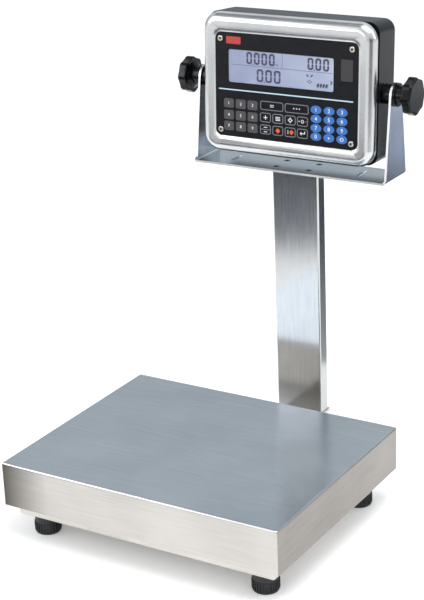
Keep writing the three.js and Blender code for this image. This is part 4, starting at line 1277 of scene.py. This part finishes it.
class BENCHSCALE_OT_display(bpy.types.Operator):
    """Lights the display: its cell, segments and window"""

    bl_idname = "bench_scale.display"
    bl_label = "Display"

    # Each reading, in panel millimetres: left, low, height, pitch, a figure's width, and how many.
    READINGS = ((-59.1, 99.4, 16.0, 11.4, 8.6, 4), (32.4, 99.2, 16.0, 11.4, 8.6, 3),
                (-43.4, 76.9, 17.0, 13.0, 9.9, 3))

    def execute(self, context):
        settings = context.scene.bench_scale_indicator
        left, right, low, high = WINDOW
        hidden, depth = 4, 4 * MM
        cell = panel_block("display_cell", left - hidden, right + hidden, low - hidden, high + hidden,
                           CELL_FACE, CELL_FACE + depth, 1.0)
        settle(cell, "cell", "indicator", "display_cell", ["display_module"], lean=True,
               soften=0.4 * MM, angle=40)
        gap = 0.05
        window = panel_block("window", left + gap, right - gap, low + gap, high - gap,
                             FILM_FACE - 0.02 * MM, FILM_BACK, 2.5)
        settle(window, "acrylic", "indicator", "display_glass", ["display_window"], lean=True,
               soften=0.15 * MM, angle=40)
        self.segments(settings)
        return {"FINISHED"}

    def segment(self, u0, v0, u1, v1, width):
        """A lit bar with pointed ends, unless it is a short one."""
        is_long = math.dist((u0, v0), (u1, v1)) > width * 1.5
        return panel_stroke("segment", (u0, v0), (u1, v1), width, CELL_FACE - 0.12 * MM,
                            CELL_FACE + 0.05 * MM, point=width * MM * 0.24 if is_long else 0)

    def nought(self, left, low, wide, high, bar):
        """The six lit bars of a nought."""
        right, top, middle = left + wide, low + high, low + high / 2
        half, gap = bar / 2, bar * 0.12
        bars = [(left + half, y, right - half, y) for y in (low + half, top - half)]
        for x in (left + half, right - half):
            bars.append((x, low + half, x, middle - gap))
            bars.append((x, middle + gap, x, top - half))
        return [self.segment(*ends, bar) for ends in bars]

    def segments(self, settings):
        """The three readings, the lines between them and the small signs."""
        bar = settings.segment / MM
        lit = []
        for left, low, high, pitch, wide, count in self.READINGS:
            for place in range(count):
                lit += self.nought(left + place * pitch, low, wide, high, bar)
            point = left + wide + (pitch - wide) / 2
            lit.append(self.segment(point - 0.8, low + 0.2, point + 0.8, low + 0.2, 1.6))
        lit += [self.segment(-81.2, 97.3, 69.6, 97.3, 0.5), self.segment(-5.1, 97.3, -5.1, 116.2, 0.5)]
        # Small signs: two slanted marks, a diamond, four battery bars and a pointer.
        lit += [self.segment(31.0, 93.2, 33.8, 90.2, 1.9), self.segment(40.0, 93.2, 37.2, 90.2, 1.9)]
        lit += [self.segment(a, b, c, d, 0.7) for a, b, c, d in (
            (33.2, 83.7, 35.6, 86.1), (35.6, 86.1, 38.0, 83.7), (38.0, 83.7, 35.6, 81.3),
            (35.6, 81.3, 33.2, 83.7), (31.6, 83.7, 33.2, 83.7), (38.0, 83.7, 39.6, 83.7))]
        lit += [self.segment(47.0 + i * 4.2, 77.6, 48.8 + i * 4.2, 82.6, 3.1) for i in range(4)]
        lit += [self.segment(66.0, 87.4, 68.6, 85.1, 1.5), self.segment(68.6, 85.1, 66.0, 82.8, 1.5)]
        lit += [self.segment(-14.6 + i * 2.2, 100.2, -13.2 + i * 2.2, 102.4, 0.8) for i in range(2)]
        whole = join(lit, "display_segments")
        settle(whole, "crystal", "indicator", "display_cell", lean=True, angle=40)


class BENCHSCALE_OT_screws(bpy.types.Operator):
    """Drives the four panel screws"""

    bl_idname = "bench_scale.screws"
    bl_label = "Panel screws"

    HEAD, HEAD_HEIGHT = 4.0 * MM, 2.2 * MM
    SHANK, SHANK_LENGTH = 1.9 * MM, 26 * MM
    SOCKET = 1.75 * MM

    def execute(self, context):
        for row in ("lower", "upper"):
            for end in ("left", "right"):
                low, high = own_box(f"panel_screw_{row}_{end}")
                self.screw(f"{row}_{end}", (low.x + high.x) / 2, (low.z + high.z) / 2)
        return {"FINISHED"}

    def screw(self, place, x, z):
        """A button head with a hexagon socket, on its shank."""
        seat = FILM_FACE - 0.3 * MM
        top = seat - self.HEAD_HEIGHT
        head = rod(f"screw_{place}", self.HEAD, top, seat, Y, (x, 0, z), 48)
        round_edges(head, at(Y, top), 1.3 * MM, 5)
        shank = rod("shank", self.SHANK, seat - 0.5 * MM, seat + self.SHANK_LENGTH, Y, (x, 0, z), 24)
        combine(head, [shank], "UNION")
        combine(head, [rod("socket", self.SOCKET, top - 0.8 * MM, seat - 0.6 * MM, Y, (x, 0, z), 6)])
        # Painted shade: the socket's floor is painted with the black gasket finish.
        floor = seat - 0.8 * MM
        settle(head, "zinc", "indicator", "zinc_steel", [f"panel_screw_{place}"], [
            ("gasket", lambda f: f.normal.y < -0.9 and f.center.y > floor
             and math.hypot(f.center.x - x, f.center.z - z) < self.SOCKET + 0.05 * MM),
        ], lean=True, soften=0.12 * MM, angle=30)


class BENCHSCALE_OT_knobs(bpy.types.Operator):
    """Moulds the clamping knobs and the bosses that they clamp"""

    bl_idname = "bench_scale.knobs"
    bl_label = "Knobs"

    GRIP, GRIP_DEPTH = 24.9 * MM, 12.5 * MM
    FLUTE, FLUTE_FROM_AXIS = 45 * MM, 68.1 * MM
    FLARE, FLARE_LENGTH = 19 * MM, 3.5 * MM
    HUB = 13 * MM
    COLLAR, COLLAR_LENGTH = 15.5 * MM, 3 * MM
    BORE, BORE_DEPTH = 4.05 * MM, 21.5 * MM

    def execute(self, context):
        settings = context.scene.bench_scale_indicator
        for name, side in (("left", -1), ("right", 1)):
            self.knob(name, side, settings)
            self.boss(name)
        return {"FINISHED"}

    def knob(self, name, side, settings):
        """A hub that flares into a fluted disc."""
        low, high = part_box(f"knob_{name}")
        inner, outer = (low.x, high.x) if side > 0 else (high.x, low.x)
        back = outer - side * self.GRIP_DEPTH
        head = rod(f"knob_{name}_grip", self.GRIP, back, outer, X, PIVOT, 96)
        flutes = []
        for number in range(settings.flutes):
            turn = (number + 0.5) / settings.flutes * 2 * math.pi
            centre = PIVOT + Vector((0, math.cos(turn), math.sin(turn))) * self.FLUTE_FROM_AXIS
            flutes.append(rod("flute", self.FLUTE, back - side * 5 * MM, outer + side * 5 * MM, X,
                              centre, 160))
        combine(head, flutes)
        round_edges(head, at(X, outer), 3.2 * MM, 4)
        round_edges(head, at(X, back), 1.4 * MM, 3)
        neck = back - side * self.FLARE_LENGTH
        flare = rod("flare", self.FLARE, back, back + side * 0.5 * MM, X, PIVOT)
        edit(flare)
        choose(flare, "FACE", at(X, back))
        bpy.ops.mesh.extrude_region_move(TRANSFORM_OT_translate={"value": (neck - back, 0, 0)})
        narrow = self.HUB / self.FLARE
        bpy.ops.transform.resize(value=(1, narrow, narrow), center_override=(neck, PIVOT.y, PIVOT.z))
        bpy.ops.mesh.extrude_region_move(TRANSFORM_OT_translate={"value": (inner - neck, 0, 0)})
        leave()
        collar = rod("collar", self.COLLAR, inner, inner + side * self.COLLAR_LENGTH, X, PIVOT)
        combine(head, [flare, collar], "UNION")
        combine(head, [rod("bore", self.BORE, inner - side * MM, inner + side * self.BORE_DEPTH, X,
                           PIVOT, 32)])
        settle(head, "black_nylon", f"knob_{name}", "black_plastic", [f"knob_{name}"],
               soften=0.3 * MM, angle=28)

    def boss(self, name):
        low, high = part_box(f"pivot_boss_{name}")
        boss = rod(f"boss_{name}", self.HUB, low.x, high.x, X, PIVOT)
        combine(boss, [rod("bore", 4.1 * MM, low.x - MM, high.x + MM, X, PIVOT, 32)])
        settle(boss, "black_nylon", "indicator", "black_plastic", [f"pivot_boss_{name}"],
               soften=0.9 * MM, segments=3, angle=30)


OPERATORS = [
    BENCHSCALE_OT_stage, BENCHSCALE_OT_base, BENCHSCALE_OT_platter, BENCHSCALE_OT_feet,
    BENCHSCALE_OT_column, BENCHSCALE_OT_bracket, BENCHSCALE_OT_bezel, BENCHSCALE_OT_housing,
    BENCHSCALE_OT_film, BENCHSCALE_OT_display, BENCHSCALE_OT_screws, BENCHSCALE_OT_knobs,
]

GROUPS = {
    "bench_scale_platform": BENCHSCALE_PG_platform,
    "bench_scale_column": BENCHSCALE_PG_column,
    "bench_scale_indicator": BENCHSCALE_PG_indicator,
    "bench_scale_stage": BENCHSCALE_PG_stage,
}


class BENCHSCALE_PT_panel(bpy.types.Panel):
    """Lists the sizes and the building steps"""

    bl_idname = "BENCHSCALE_PT_panel"
    bl_label = "Bench scale"
    bl_space_type = "VIEW_3D"
    bl_region_type = "UI"
    bl_category = "Bench scale"

    def draw(self, context):
        for name, group in GROUPS.items():
            settings = getattr(context.scene, name)
            box = self.layout.box()
            for field in group.__annotations__:
                box.prop(settings, field)
        for operator in OPERATORS:
            self.layout.operator(operator.bl_idname)


def register():
    for group in GROUPS.values():
        bpy.utils.register_class(group)
    for name, group in GROUPS.items():
        setattr(bpy.types.Scene, name, bpy.props.PointerProperty(type=group))
    for operator in OPERATORS:
        bpy.utils.register_class(operator)
    bpy.utils.register_class(BENCHSCALE_PT_panel)


def unregister():
    bpy.utils.unregister_class(BENCHSCALE_PT_panel)
    for operator in reversed(OPERATORS):
        bpy.utils.unregister_class(operator)
    for name in GROUPS:
        delattr(bpy.types.Scene, name)
    for group in reversed(list(GROUPS.values())):
        bpy.utils.unregister_class(group)


def main():
    register()
    make_materials()
    for operator in OPERATORS:
        category, name = operator.bl_idname.split(".")
        getattr(getattr(bpy.ops, category), name)()


if __name__ == "__main__":
    main()
